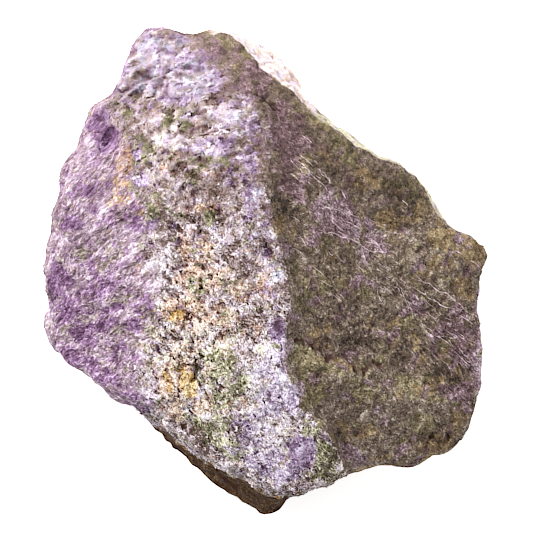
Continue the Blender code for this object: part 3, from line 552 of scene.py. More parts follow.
class Graph:
    """A short way to write a tree of nodes.

    Args:
        tree: The node tree to fill.
    """

    def __init__(self, tree: bpy.types.NodeTree) -> None:
        """Keeps the tree that the nodes go into."""
        self.tree = tree

    def node(self, kind: str, settings: dict | None = None, inputs: dict | None = None) -> bpy.types.Node:
        """Adds a node.

        Args:
            kind: Blender's name for the node.
            settings: The node's own properties.
            inputs: What goes into its sockets, by name or number: a socket, or a plain value.

        Returns:
            The new node.
        """
        made = self.tree.nodes.new(kind)
        for name, value in (settings or {}).items():
            setattr(made, name, value)
        for name, value in (inputs or {}).items():
            self.feed(made.inputs[name], value)
        return made

    def feed(self, socket: bpy.types.NodeSocket, value: object) -> None:
        """Links a socket to another one, or sets it to a plain value.

        Args:
            socket: The socket that is fed.
            value: Another socket, or a plain value. A colour may leave out its alpha.
        """
        if isinstance(value, bpy.types.NodeSocket):
            self.tree.links.new(value, socket)
        elif isinstance(value, tuple) and socket.type == "RGBA":
            socket.default_value = (*value, 1.0)
        else:
            socket.default_value = value

    def math(self, operation: str, *values: object) -> bpy.types.NodeSocket:
        """A sum on numbers, such as ADD or MULTIPLY."""
        made = self.node("ShaderNodeMath", {"operation": operation}, dict(enumerate(values)))
        return made.outputs[0]

    def vector_math(self, operation: str, *values: object) -> bpy.types.NodeSocket:
        """A sum on vectors, such as ADD or SUBTRACT."""
        made = self.node("ShaderNodeVectorMath", {"operation": operation}, dict(enumerate(values)))
        return made.outputs[0]

    def scaled(self, vector: object, factor: object) -> bpy.types.NodeSocket:
        """A vector made longer or shorter."""
        made = self.node("ShaderNodeVectorMath", {"operation": "SCALE"}, {0: vector, "Scale": factor})
        return made.outputs[0]

    def weighed(self, *parts: tuple[object, float]) -> bpy.types.NodeSocket:
        """The sum of some values, each with its weight.

        Args:
            parts: Pairs of a value and its weight.

        Returns:
            The sum's socket.
        """
        total = None
        for value, weight in parts:
            product = self.math("MULTIPLY", value, weight)
            total = product if total is None else self.math("ADD", total, product)
        return total

    def step(self, value: object, low: object, high: object) -> bpy.types.NodeSocket:
        """A soft step from 0 at low to 1 at high."""
        settings = {"interpolation_type": "SMOOTHSTEP"}
        inputs = {"Value": value, "From Min": low, "From Max": high}
        return self.node("ShaderNodeMapRange", settings, inputs).outputs["Result"]

    def spread(self, value: object, low: float = 0.3, high: float = 0.7) -> bpy.types.NodeSocket:
        """Noise, which keeps near its middle, spread evenly over 0 to 1."""
        inputs = {"Value": value, "From Min": low, "From Max": high}
        return self.node("ShaderNodeMapRange", {}, inputs).outputs["Result"]

    def mix(self, share: object, first: object, second: object) -> bpy.types.NodeSocket:
        """The first colour, giving way to the second as the share grows.

        Args:
            share: How much of the second colour there is, from 0 to 1.
            first: The colour at 0.
            second: The colour at 1.

        Returns:
            The mixed colour.
        """
        made = self.node("ShaderNodeMix", {"data_type": "RGBA"}, {"Factor": share})
        self.feed(made.inputs[6], first)
        self.feed(made.inputs[7], second)
        return made.outputs[2]

    def between(self, share: object, first: object, second: object) -> bpy.types.NodeSocket:
        """The first value, giving way to the second as the share grows."""
        return self.node("ShaderNodeMix", {}, {"Factor": share, 2: first, 3: second}).outputs[0]

    def ramp(self, value: object, stops: Ramp) -> bpy.types.NodeSocket:
        """The colour at a value, from stops that run from low to high.

        Args:
            value: The place on the ramp, from 0 to 1.
            stops: The ramp's places and colours.

        Returns:
            The colour's socket.
        """
        made = self.node("ShaderNodeValToRGB", {}, {"Fac": value})
        elements = made.color_ramp.elements
        for element, (place, colour) in zip(elements, (stops[0], stops[-1])):
            element.position = place
            element.color = (*colour, 1.0)
        for place, colour in stops[1:-1]:
            elements.new(place).color = (*colour, 1.0)
        return made.outputs["Color"]

    def mask(self, name: str) -> bpy.types.NodeSocket:
        """The mask that a mesh carries under a name."""
        return self.node("ShaderNodeAttribute", {"attribute_name": name}).outputs["Fac"]

    def noise(
        self, place: object, size: float, detail: float = 2.0, rough: float = 0.5
    ) -> bpy.types.NodeSocket:
        """Noise spread evenly over 0 to 1, with lumps of a size in millimetres, on places in metres."""
        return self.spread(self._texture(place, size, detail, rough).outputs["Fac"])

    def _texture(self, place: object, size: float, detail: float, rough: object = 0.5) -> bpy.types.Node:
        """A noise texture with lumps of a size in millimetres."""
        inputs = {"Vector": place, "Scale": 1 / (size * MM), "Detail": detail, "Roughness": rough}
        return self.node("ShaderNodeTexNoise", {}, inputs)

    def kinds(self, place: object, size: float, rough: object) -> bpy.types.NodeSocket:
        """Three unlike noises in the channels of one colour, with patches of a size in millimetres."""
        return self._texture(place, size, 5.0, rough).outputs["Color"]

    def lines(self, place: object, size: float, width: float) -> bpy.types.NodeSocket:
        """Curled lines where noise crosses its middle.

        Args:
            place: The places, in metres.
            size: The spacing of the curls, in millimetres.
            width: How wide the lines are, as a share of the noise's range.

        Returns:
            1 in the middle of a line, and 0 beside it.
        """
        noise = self._texture(place, size, 2.0).outputs["Fac"]
        off = self.math("ABSOLUTE", self.math("SUBTRACT", noise, 0.5))
        return self.math("SUBTRACT", 1.0, self.step(off, 0.3 * width, width))

    def shard(self, place: object, size: float) -> bpy.types.NodeSocket:
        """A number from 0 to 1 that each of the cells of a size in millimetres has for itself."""
        made = self.node("ShaderNodeTexVoronoi", {}, {"Vector": place, "Scale": 1 / (size * MM)})
        return self.node("ShaderNodeSeparateColor", {}, {"Color": made.outputs["Color"]}).outputs["Red"]

    def above(self, value: object, low: float, high: float) -> bpy.types.NodeSocket:
        """A soft step that also falls, if low is the greater: 0 at low and 1 at high."""
        if low < high:
            return self.step(value, low, high)
        return self.math("SUBTRACT", 1.0, self.step(value, high, low))

    def wavy(self, place: object, size: float, reach: float) -> bpy.types.NodeSocket:
        """The place pushed about by noise.

        Args:
            place: The places, in metres.
            size: The spacing of the waves, in millimetres.
            reach: How far a place is pushed, in millimetres.

        Returns:
            The new places, in metres.
        """
        noise = self._texture(place, size, 2.0).outputs["Color"]
        centred = self.vector_math("SUBTRACT", noise, (0.5, 0.5, 0.5))
        return self.vector_math("ADD", place, self.scaled(centred, 4 * reach * MM))

    def stretched(self, place: object, degrees: float, stretch: float) -> bpy.types.NodeSocket:
        """The place turned and squeezed along the fibres, so that noise on it is drawn out.

        Args:
            place: The places, in metres.
            degrees: The way the fibres run, against the clock from +X.
            stretch: How many times as long as wide the noise becomes.

        Returns:
            The places to read noise at.
        """
        rotation = (0.0, 0.0, math.radians(-degrees))
        turned_place = self.node("ShaderNodeMapping", {}, {"Vector": place, "Rotation": rotation})
        inputs = {"Vector": turned_place.outputs[0], "Scale": (1 / stretch, 1.0, 1.0)}
        return self.node("ShaderNodeMapping", {}, inputs).outputs[0]


@dataclass(frozen=True)
class Mineral:
    """A mineral in the rock: its tint's mask, how common it is, and its colours from dark to pale."""

    tint: Tint
    everywhere: float
    most: float
    ramp: Ramp


@dataclass(frozen=True)
class Palette:
    """The minerals that are mixed in one face of the rock."""

    name: str
    plain: Ramp
    minerals: tuple[Mineral, ...]

    def build(self) -> bpy.types.ShaderNodeTree:
        """Builds the palette.

        Returns:
            A node group that takes a tone and three kinds, all from 0 to 1, and puts out the colour.
        """
        group = bpy.data.node_groups.new(self.name, "ShaderNodeTree")
        group.interface.new_socket("Tone", in_out="INPUT", socket_type="NodeSocketFloat")
        group.interface.new_socket("Kinds", in_out="INPUT", socket_type="NodeSocketColor")
        group.interface.new_socket("Color", in_out="OUTPUT", socket_type="NodeSocketColor")
        graph = Graph(group)
        given = graph.node("NodeGroupInput").outputs
        tone = given["Tone"]
        kinds = graph.node("ShaderNodeSeparateColor", {}, {"Color": given["Kinds"]}).outputs
        colour = graph.ramp(tone, self.plain)
        border = graph.math("MULTIPLY_ADD", graph.mask("calm"), 0.12, 0.10)
        fading = graph.math("MULTIPLY", border, -1.0)
        for kind, mineral in zip(itertools.cycle(kinds), self.minerals):
            there = graph.mask(mineral.tint.value)
            share = graph.math("MULTIPLY_ADD", there, mineral.most, mineral.everywhere)
            chosen = graph.step(graph.math("SUBTRACT", share, graph.spread(kind)), fading, border)
            colour = graph.mix(chosen, colour, graph.ramp(tone, mineral.ramp))
        graph.node("NodeGroupOutput", {}, {"Color": colour})
        return group


CRUST_PALETTE = Palette(
    "crust_minerals",
    shades(
        (0.0, 60, 34, 28), (0.2, 102, 77, 69), (0.4, 146, 127, 123), (0.6, 184, 169, 175),
        (0.8, 223, 209, 219), (1.0, 253, 247, 253),
    ),
    (
        Mineral(Tint.OCHRE, everywhere=0.24, most=0.68, ramp=shades(
            (0.0, 68, 38, 28), (0.25, 122, 86, 69), (0.5, 188, 154, 136), (0.72, 229, 203, 183),
            (1.0, 253, 243, 233),
        )),
        Mineral(Tint.OLIVE, everywhere=0.30, most=0.50, ramp=shades(
            (0.0, 56, 45, 26), (0.3, 107, 100, 71), (0.6, 157, 152, 119), (0.8, 199, 195, 165),
            (1.0, 237, 234, 212),
        )),
        Mineral(Tint.PURPLE, everywhere=0.22, most=0.56, ramp=shades(
            (0.0, 66, 38, 56), (0.3, 122, 94, 124), (0.6, 187, 168, 195), (1.0, 246, 237, 252),
        )),
        Mineral(Tint.BLUISH, everywhere=-0.20, most=0.90, ramp=shades(
            (0.0, 62, 56, 62), (0.3, 122, 116, 130), (0.6, 180, 176, 192), (1.0, 244, 245, 253),
        )),
        Mineral(Tint.AMBER, everywhere=-0.20, most=0.90, ramp=shades(
            (0.0, 80, 46, 20), (0.3, 150, 104, 52), (0.6, 218, 172, 100), (1.0, 252, 236, 196),
        )),
    ),
)
FLANK_PALETTE = Palette(
    "flank_minerals",
    shades(
        (0.0, 64, 42, 52), (0.2, 106, 82, 92), (0.42, 150, 126, 138), (0.64, 188, 166, 182),
        (0.84, 222, 204, 219), (1.0, 248, 240, 248),
    ),
    (
        Mineral(Tint.OLIVE, everywhere=0.32, most=0.50, ramp=shades(
            (0.0, 60, 50, 42), (0.45, 138, 126, 112), (1.0, 224, 214, 204),
        )),
        Mineral(Tint.OCHRE, everywhere=0.18, most=0.56, ramp=shades(
            (0.0, 84, 58, 42), (0.5, 186, 152, 118), (1.0, 252, 236, 218),
        )),
        Mineral(Tint.PURPLE, everywhere=0.32, most=0.62, ramp=shades(
            (0.0, 62, 32, 54), (0.35, 115, 78, 113), (0.7, 176, 142, 178), (1.0, 235, 217, 240),
        )),
    ),
)
DARK_PALETTE = Palette(
    "dark_minerals",
    shades(
        (0.0, 38, 28, 23), (0.25, 80, 63, 52), (0.5, 116, 98, 83), (0.75, 156, 140, 123),
        (1.0, 218, 207, 197),
    ),
    (
        Mineral(Tint.OLIVE, everywhere=0.24, most=0.56, ramp=shades(
            (0.0, 46, 38, 26), (0.4, 104, 91, 66), (0.7, 149, 135, 101), (1.0, 210, 200, 174),
        )),
        Mineral(Tint.AMBER, everywhere=0.10, most=0.66, ramp=shades(
            (0.0, 58, 36, 20), (0.5, 134, 111, 80), (1.0, 208, 188, 150),
        )),
        Mineral(Tint.PURPLE, everywhere=0.22, most=0.60, ramp=shades(
            (0.0, 56, 35, 34), (0.35, 104, 78, 80), (0.65, 151, 124, 131), (1.0, 224, 204, 216),
        )),
    ),
)


def new_material(name: str) -> tuple[bpy.types.Material, Graph, bpy.types.Node]:
    """A fresh material.

    Args:
        name: What the material is called.

    Returns:
        The material, a graph on its tree, and its main shader.
    """
    material = bpy.data.materials.new(name)
    material.use_nodes = True
    shader = material.node_tree.nodes["Principled BSDF"]
    return material, Graph(material.node_tree), shader


@dataclass(frozen=True)
class RockFinish:
    """The broken rock and the loose pieces on it. Each face mixes its own minerals."""

    crust: bpy.types.ShaderNodeTree
    flank: bpy.types.ShaderNodeTree
    dark: bpy.types.ShaderNodeTree
    # The dark brown that low points are mixed towards, as painted shade in gaps, creases and pits
    crevice_shade_colour: Colour = eye_colour(74, 37, 30)
    relief: float = 0.20

    def build(self) -> bpy.types.Material:
        """Builds the material.

        Returns:
            The material of the rock and of what lies on it.
        """
        material, graph, shader = new_material("stichtite_rock_broken")
        place = graph.node("ShaderNodeTexCoord").outputs["Object"]
        fine = graph.noise(place, 0.26, 3.0, 0.65)
        ragged = graph.weighed((fine, 0.5), (graph.noise(place, 1.0, 3.0, 0.6), 0.9), (1.0, -0.7))
        ragged = graph.math("MULTIPLY", ragged, graph.math("MULTIPLY_ADD", graph.mask("calm"), -0.65, 1.0))
        # Tone shifts: the rise mask paints light on high points and shade on low ones, pits and shade patches
        # are partly painted shade, and odd and pale are the pieces' and patches' own tones
        tints_and_painted_shading = graph.weighed(
            (graph.mask("rise"), 0.16), (graph.mask("odd"), 0.13), (graph.mask("pale"), 0.20),
            (graph.mask("pit"), -0.5), (graph.mask("shade"), -0.26),
        )
        tone = graph.math("ADD", self._dark_tone(graph, place, fine), tints_and_painted_shading)
        colour = self._coloured(graph, self.dark, tone, graph.kinds(place, 2.4, 0.54))
        low = graph.math("MULTIPLY_ADD", graph.mask("calm"), -0.25, 0.45)
        high = graph.math("MULTIPLY_ADD", graph.mask("calm"), 0.25, 0.55)
        kinds = graph.kinds(place, 1.7, graph.math("MULTIPLY_ADD", graph.mask("calm"), -0.05, 0.78))
        for name, palette, own in (
            ("crust", self.crust, self._crust_tone(graph, place, fine)),
            ("flank", self.flank, self._flank_tone(graph, place, fine)),
        ):
            share = graph.step(graph.math("ADD", graph.mask(name), ragged), low, high)
            own = graph.math("ADD", own, tints_and_painted_shading)
            colour = graph.mix(share, colour, self._coloured(graph, palette, own, kinds))
            tone = graph.between(share, tone, own)
        # Painted shade: low points among their neighbours are mixed towards the crevice shade colour, less
        # where the rock is calm
        deep = graph.math("MULTIPLY_ADD", graph.mask("calm"), -0.55, 0.8)
        gap = graph.math("MULTIPLY", graph.step(graph.mask("rise"), -0.5, -1.0), deep)
        graph.feed(shader.inputs["Base Color"], graph.mix(gap, colour, self.crevice_shade_colour))
        graph.feed(shader.inputs["Roughness"], graph.weighed((fine, 0.3), (1.0, 0.50)))
        shine = graph.weighed((graph.mask("front"), 0.31), (1.0, 0.04))
        graph.feed(shader.inputs["Specular IOR Level"], shine)
        inputs = {"Strength": 0.7, "Distance": self.relief * MM, "Height": tone}
        graph.feed(shader.inputs["Normal"], graph.node("ShaderNodeBump", {}, inputs).outputs["Normal"])
        return material

    def _coloured(self, graph: Graph, palette: object, tone: object, kinds: object) -> bpy.types.NodeSocket:
        """The colour of a palette at a tone and three kinds."""
        inputs = {"Tone": tone, "Kinds": kinds}
        return graph.node("ShaderNodeGroup", {"node_tree": palette}, inputs).outputs["Color"]

    def _crust_tone(self, graph: Graph, place: object, fine: object) -> bpy.types.NodeSocket:
        """Torn flakes and dark flecks, quiet in places, drawn out level high up and slanting low down.

        Args:
            graph: The material's graph.
            place: The places on the stone, in metres.
            fine: Fine grain, from 0 to 1.

        Returns:
            The tone, dark at 0 and pale at 1.
        """
        calm = graph.mask("calm")
        bent = graph.wavy(place, 0.8, 0.20)
        slanting = graph.stretched(bent, CRUST_STREAK_TURN, 2.0)
        level = graph.stretched(graph.wavy(place, 0.6, 0.16), CRUST_LEVEL_TURN, 1.9)
        fleck, flake = (
            graph.between(calm, graph.noise(slanting, low, 4.0, 0.66), graph.noise(level, high, 4.0, 0.60))
            for low, high in ((0.56, 0.85), (0.42, 1.05))
        )
        uneven = graph.step(graph.noise(place, 3.4, 3.0), 0.25, 0.75)
        broken = graph.weighed((uneven, 0.6), (graph.mask("rugged"), 0.5), (1.0, 0.5))
        torn = graph.math("MULTIPLY", graph.lines(slanting, 0.5, 0.05), graph.math("SUBTRACT", 1.0, calm))
        marks = graph.weighed((graph.above(fleck, 0.40, 0.10), -0.52), (graph.above(flake, 0.55, 0.90), 0.34))
        varied = graph.weighed(
            (graph.noise(place, 3.0, 3.0), 0.30), (graph.noise(bent, 1.2, 3.0, 0.6), 0.28), (flake, 0.26),
            (graph.math("MULTIPLY", graph.math("SUBTRACT", fine, 0.5), calm), -0.24),
            (graph.math("MULTIPLY", marks, broken), 1.0), (graph.shard(bent, 0.45), 0.16), (fine, 0.46),
            (torn, 0.26), (1.0, -0.72),
        )
        varied = graph.math("MULTIPLY", varied, graph.math("MULTIPLY_ADD", calm, -0.66, 1.40))
        # A little painted light on the high points, from the rise mask
        return graph.weighed((varied, 1.0), (graph.mask("rise"), 0.05), (calm, -0.05), (1.0, 0.365))

    def _flank_tone(self, graph: Graph, place: object, fine: object) -> bpy.types.NodeSocket:
        """Fine fibres, pale on their crests and dark between them, broken up crosswise.

        Args:
            graph: The material's graph.
            place: The places on the stone, in metres.
            fine: Fine grain, from 0 to 1.

        Returns:
            The tone, dark at 0 and pale at 1.
        """
        calm = graph.mask("calm")
        lay = graph.node("ShaderNodeAttribute", {"attribute_name": "lay"}).outputs["Vector"]
        bent = graph.wavy(lay, 2.2, 0.35)
        fibres = graph.vector_math("MULTIPLY", bent, (1 / 6, 1.0, 1.0))
        bundles = graph.vector_math("MULTIPLY", bent, (1 / 3, 1.0, 1.0))
        curls = graph.wavy(place, 0.9, 0.25)
        varied = graph.weighed(
            (graph.noise(fibres, 0.30, 2.0, 0.6), 0.50), (graph.noise(bundles, 0.9, 3.0, 0.6), 0.36),
            (graph.noise(curls, 0.46, 4.0, 0.66), 0.34), (fine, 0.36), (graph.noise(bundles, 2.6, 3.0), 0.26),
            (graph.math("MULTIPLY", graph.math("SUBTRACT", fine, 0.5), calm), -0.30),
            (graph.lines(fibres, 0.45, 0.05), 0.22), (1.0, -0.96),
        )
        varied = graph.math("MULTIPLY", varied, graph.math("MULTIPLY_ADD", calm, -0.36, 1.04))
        return graph.weighed((varied, 1.0), (calm, -0.04), (1.0, 0.48))

    def _dark_tone(self, graph: Graph, place: object, fine: object) -> bpy.types.NodeSocket:
        """Dull blotches, with fine threads that run with the streaks where the rock is mauve.

        Args:
            graph: The material's graph.
            place: The places on the stone, in metres.
            fine: Fine grain, from 0 to 1.

        Returns:
            The tone, dark at 0 and pale at 1.
        """
        bent = graph.wavy(place, 1.0, 0.25)
        streaks = graph.stretched(bent, DARK_FIBRE_TURN, 3.0)
        threads = graph.stretched(graph.wavy(place, 2.0, 0.30), DARK_FIBRE_TURN, 6.0)
        # Painted highlight: the tone is paler on the crests of the ribs
        ribs = graph.above(graph.math("SINE", graph.mask("rib")), 0.0, 1.0)
        ribs = graph.math("MULTIPLY", ribs, graph.step(graph.noise(streaks, 1.0, 3.0, 0.6), 0.35, 0.75))
        threaded = graph.math("MULTIPLY_ADD", graph.mask(Tint.PURPLE.value), 0.8, 0.35)
        varied = graph.weighed(
            (graph.noise(bent, 0.48, 4.0, 0.68), 0.48), (graph.noise(streaks, 0.34, 3.0, 0.65), 0.38),
            (fine, 0.50), (graph.lines(bent, 0.7, 0.04), 0.22),
            (graph.math("MULTIPLY", ribs, graph.mask("ribbed")), 0.38),
            (graph.math("MULTIPLY", graph.lines(threads, 0.5, 0.06), threaded), 0.30),
            (graph.noise(bent, 1.6, 3.0, 0.55), 0.34), (graph.noise(place, 4.5, 3.0), 0.18),
            (graph.mask("ribbed"), -0.06), (1.0, -0.975),
        )
        contrast = graph.weighed((graph.mask("calm"), -0.38), (graph.mask("ribbed"), -0.22), (1.0, 0.98))
        return graph.weighed((graph.math("MULTIPLY", varied, contrast), 1.0), (1.0, 0.42))


@dataclass(frozen=True)
class VeinFinish:
    """The pale veins, from dusty pink to near white along their length."""

    dusty: Colour = eye_colour(160, 134, 140)
    pale: Colour = eye_colour(240, 220, 228)

    def build(self) -> bpy.types.Material:
        """Builds the material.

        Returns:
            The material of the veins and threads.
        """
        material, graph, shader = new_material("pale_vein")
        place = graph.node("ShaderNodeTexCoord").outputs["Object"]
        patches = graph.noise(place, 0.8, 3.0, 0.6)
        graph.feed(shader.inputs["Base Color"], graph.mix(patches, self.dusty, self.pale))
        shader.inputs["Roughness"].default_value = 0.6
        inputs = {"Strength": 0.5, "Distance": 0.04 * MM, "Height": graph.noise(place, 0.2)}
        graph.feed(shader.inputs["Normal"], graph.node("ShaderNodeBump", {}, inputs).outputs["Normal"])
        return material


def evaluated_mesh(carrier: bpy.types.Object) -> bpy.types.Mesh:
    """The mesh as the object's modifiers leave it.

    Args:
        carrier: The object with its modifiers.

    Returns:
        A new plain mesh.
    """
    bpy.context.view_layer.update()
    graph = bpy.context.evaluated_depsgraph_get()
    return bpy.data.meshes.new_from_object(carrier.evaluated_get(graph))


def linked(name: str, mesh: bpy.types.Mesh) -> bpy.types.Object:
    """An object in the scene that carries a mesh.

    Args:
        name: What the object is called.
        mesh: The mesh it carries.

    Returns:
        The new object.
    """
    made = bpy.data.objects.new(name, mesh)
    bpy.context.scene.collection.objects.link(made)
    return made


@dataclass
class BrokenRock:
    """The stone's visible skin, with the relief of each face. Sizes are in millimetres."""

    net: float = 0.25
    most_triangles: int = 196_000
    softening: int = 3
    clump_height: float = 0.40
    clump_size: float = 2.4
    grain_height: float = 0.30
    grain_size: float = 1.3
    fibre_height: float = 0.30
    fibre_size: float = 1.0
    dark_height: float = 0.32
    side_height: float = 0.34
    ledge_height: float = 0.55
    rib_spacing: float = 0.62
    plate_size: float = 1.3
    wander_size: float = 2.6
    wander_reach: float = 0.7
    bend_reach: float = 0.45
    rest_height: float = 0.05
    hidden_slope: float = 0.2

    def build(self, node: bpy.types.Object, material: bpy.types.Material) -> bpy.types.Object:
        """Makes the skin.

        Args:
            node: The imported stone, which is left as it is.
            material: The rock's finish.

        Returns:
            The finished piece.
        """
        mesh = self._fine_copy(node)
        points, normals = self._read(mesh)
        masks = self._masks(points, normals)
        # The rise mask follows the relief, and the finish paints light on its high points and shade in its
        # low ones
        moved, masks["rise"] = self._broken(points, normals, masks)
        mesh.vertices.foreach_set("co", (moved * MM).astype(np.float32).ravel())
        lay = mesh.attributes.new("lay", "FLOAT_VECTOR", "POINT")
        lay.data.foreach_set("vector", (fanned(points) * MM).astype(np.float32).ravel())
        for name, values in masks.items():
            layer = mesh.attributes.new(name, "FLOAT", "POINT")
            layer.data.foreach_set("value", values.astype(np.float32))
        mesh.update()
        mesh.shade_smooth()
        mesh.materials.append(material)
        return linked("broken_rock", mesh)

    def _fine_copy(self, node: bpy.types.Object) -> bpy.types.Mesh:
        """A closed copy of the stone in a fine even net, coarser where the photograph doesn't look.

        Args:
            node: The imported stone, which is left as it is.

        Returns:
            The copy's mesh, in metres.
        """
        closed = bmesh.new()
        closed.from_mesh(node.data)
        bmesh.ops.remove_doubles(closed, verts=closed.verts, dist=0.0001 * MM)
        mesh = bpy.data.meshes.new("rock_copy")
        closed.to_mesh(mesh)
        closed.free()
        carrier = linked("rock_copy", mesh)
        rounding = carrier.modifiers.new("round", "SUBSURF")
        rounding.levels = 1
        rounding.render_levels = 1
        remesh = carrier.modifiers.new("net", "REMESH")
        remesh.mode = "VOXEL"
        remesh.voxel_size = self.net * MM
        carrier.data = evaluated_mesh(carrier)
        carrier.modifiers.clear()
        self._soften(carrier.data)
        mesh = self._thinned(carrier)
        bpy.data.objects.remove(carrier)
        mesh.name = "broken_rock"
        mesh.materials.clear()
        return mesh

    def _soften(self, mesh: bpy.types.Mesh) -> None:
        """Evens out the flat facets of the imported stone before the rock's own relief is made.

        Args:
            mesh: The net, which is changed in place.
        """
        soft = bmesh.new()
        soft.from_mesh(mesh)
        every_way = {"use_axis_x": True, "use_axis_y": True, "use_axis_z": True}
        for _ in range(self.softening):
            bmesh.ops.smooth_vert(soft, verts=soft.verts, factor=0.5, **every_way)
        soft.to_mesh(mesh)
        soft.free()

    def _thinned(self, carrier: bpy.types.Object) -> bpy.types.Mesh:
        """The carrier's mesh with fewer triangles on the sides and the back, if it has too many.

        Args:
            carrier: The object that carries the net.

        Returns:
            The mesh within the most triangles.
        """
        mesh = carrier.data
        mesh.calc_loop_triangles()
        triangles = len(mesh.loop_triangles)
        LOG.info("the rock's net has %d triangles", triangles)
        if triangles <= self.most_triangles:
            return mesh
        _, normals = self._read(mesh)
        hidden = carrier.vertex_groups.new(name="hidden")
        hidden.add(np.flatnonzero(normals[:, 2] < self.hidden_slope).tolist(), 1.0, "REPLACE")
        thin = carrier.modifiers.new("thin", "DECIMATE")
        thin.vertex_group = hidden.name
        thin.ratio = self.most_triangles / triangles
        return evaluated_mesh(carrier)

    def _read(self, mesh: bpy.types.Mesh) -> tuple[np.ndarray, np.ndarray]:
        """The mesh's points in millimetres, and the direction each one faces.

        Args:
            mesh: A mesh in metres.

        Returns:
            The points, and their normals.
        """
        points = np.empty(len(mesh.vertices) * 3, np.float32)
        normals = np.empty(len(mesh.vertices) * 3, np.float32)
        mesh.vertices.foreach_get("co", points)
        mesh.vertex_normals.foreach_get("vector", normals)
        return points.reshape(-1, 3).astype(float) / MM, normals.reshape(-1, 3).astype(float)

    def _masks(self, points: np.ndarray, normals: np.ndarray) -> dict[str, np.ndarray]:
        """How much of each face and of each tint is at each point.

        Args:
            points: The skin, in millimetres.
            normals: The direction each point faces.

        Returns:
            A value for each point under each mask's name, from about 0 to 1. The rib mask is an angle.
        """
        wander = Noise(5)
        shift = np.column_stack((
            wander.layered(points, self.wander_size), wander.layered(points + 40.0, self.wander_size),
            np.zeros(len(points)),
        ))
        places = points + self.wander_reach * shift
        front = self._front(points, places, normals)
        past_crest = places[:, 0] - along_line(CREST, places[:, 1])
        straying = 2.4 * wander.layered(points / (1.6, 1.0, 1.0), 5.0, 3)
        past_flank = places[:, 0] - along_line(FLANK_LINE, places[:, 1]) + straying
        blend = 0.4 + 2.4 * smooth(1.0, 10.0, places[:, 1])
        left = front * smooth(blend, -blend, past_crest)
        bevel = self._bevel(points, normals, past_crest) * (1 - left)
        flank_wall = self._flank_wall(points, normals)
        flank = np.maximum(left * smooth(4.2, -3.4, past_flank), flank_wall)
        calm = self._calm(points, bevel)
        masks = {
            "front": front,
            "calm": calm,
            "grainy": left * smooth(-3.4, 1.6, past_flank) * (1 - 0.75 * calm),
            "crust": np.maximum(left, bevel),
            "flank": flank,
            "ribbed": RIBBED_PATCH.share(points) * front,
            "rib": self._rib_phase(points),
            "rugged": np.maximum.reduce([patch.share(places) for patch in RUGGED_PATCHES]),
            "dark": front * (1 - np.maximum(np.maximum(left, bevel), flank)),
        }
        for tint, patches in PATCHES.items():
            masks[tint.value] = np.maximum.reduce([patch.share(places) for patch in patches]) * front
        self._tint_crust(masks, points, left)
        self._tint_sides(masks, points, flank_wall, wander)
        self._tint_bevel(masks, points, bevel)
        return masks

    def _front(self, points: np.ndarray, places: np.ndarray, normals: np.ndarray) -> np.ndarray:
        """How far each point belongs to the face that looks up, down to the foot line at the lower left.

        Args:
            points: The skin, in millimetres.
            places: The same points pushed about by noise.
            normals: The direction each point faces.

        Returns:
            A share from 0 to 1 for each point.
        """
        above_foot = smooth(-0.3, 0.3, places[:, 1] - along_line(FOOT_LINE, places[:, 0]))
        by_foot = smooth(-17.0, -19.5, points[:, 1]) * smooth(12.0, 9.0, points[:, 0])
        upward = smooth(0.12, 0.38, normals[:, 2])
        return upward + by_foot * (above_foot * smooth(0.0, 0.1, normals[:, 2]) - upward)

    def _bevel(self, points: np.ndarray, normals: np.ndarray, past_crest: np.ndarray) -> np.ndarray:
        """How far each point belongs to the steep face along the upper right edge, which is made pale, partly
        as painted backlight.

        Args:
            points: The skin, in millimetres.
            normals: The direction each point faces.
            past_crest: How far each point is to the right of the crest, in millimetres.

        Returns:
            A share from 0 to 1 for each point.
        """
        away_up = normals[:, 0] * 0.6 + normals[:, 1] * 0.8
        steepest = np.interp(points[:, 0], (2.0, 6.0), (0.78, 0.42))
        bevel = smooth(0.42, 0.62, away_up) * smooth(steepest, steepest - 0.14, normals[:, 2])
        bevel = bevel * smooth(-0.4, -0.2, normals[:, 2]) * smooth(6.0, 9.0, points[:, 1])
        bevel = bevel * smooth(2.5, 4.0, past_crest)
        return np.maximum(bevel, BEVEL_CHIP.share(points))

    def _flank_wall(self, points: np.ndarray, normals: np.ndarray) -> np.ndarray:
        """How far each point belongs to the side below the flank, which is fibrous as the flank is.

        Args:
            points: The skin, in millimetres.
            normals: The direction each point faces.

        Returns:
            A share from 0 to 1 for each point.
        """
        wall = smooth(0.50, 0.34, normals[:, 2]) * smooth(-0.25, 0.0, normals[:, 2])
        wrapped_from = np.interp(points[:, 1], (18.0, 24.0), (-16.0, -10.0))
        return wall * smooth(0.0, -6.0, points[:, 0] - wrapped_from)

    def _calm(self, points: np.ndarray, bevel: np.ndarray) -> np.ndarray:
        """How smooth and even the rock is: more so towards the top, on the bevel and on the crystals.

        Args:
            points: The skin, in millimetres.
            bevel: How far each point belongs to the bevel.

        Returns:
            A value for each point, from 0 to 1.5.
        """
        calm = 0.25 + 0.55 * smooth(4.0, 20.0, points[:, 1]) + 0.35 * smooth(23.0, 27.0, points[:, 1])
        calm = np.maximum(calm - 0.25 * smooth(-2.0, -8.0, points[:, 1]), 1.5 * bevel)
        return np.maximum.reduce([calm, *(patch.share(points) for patch in SMOOTH_PATCHES)])

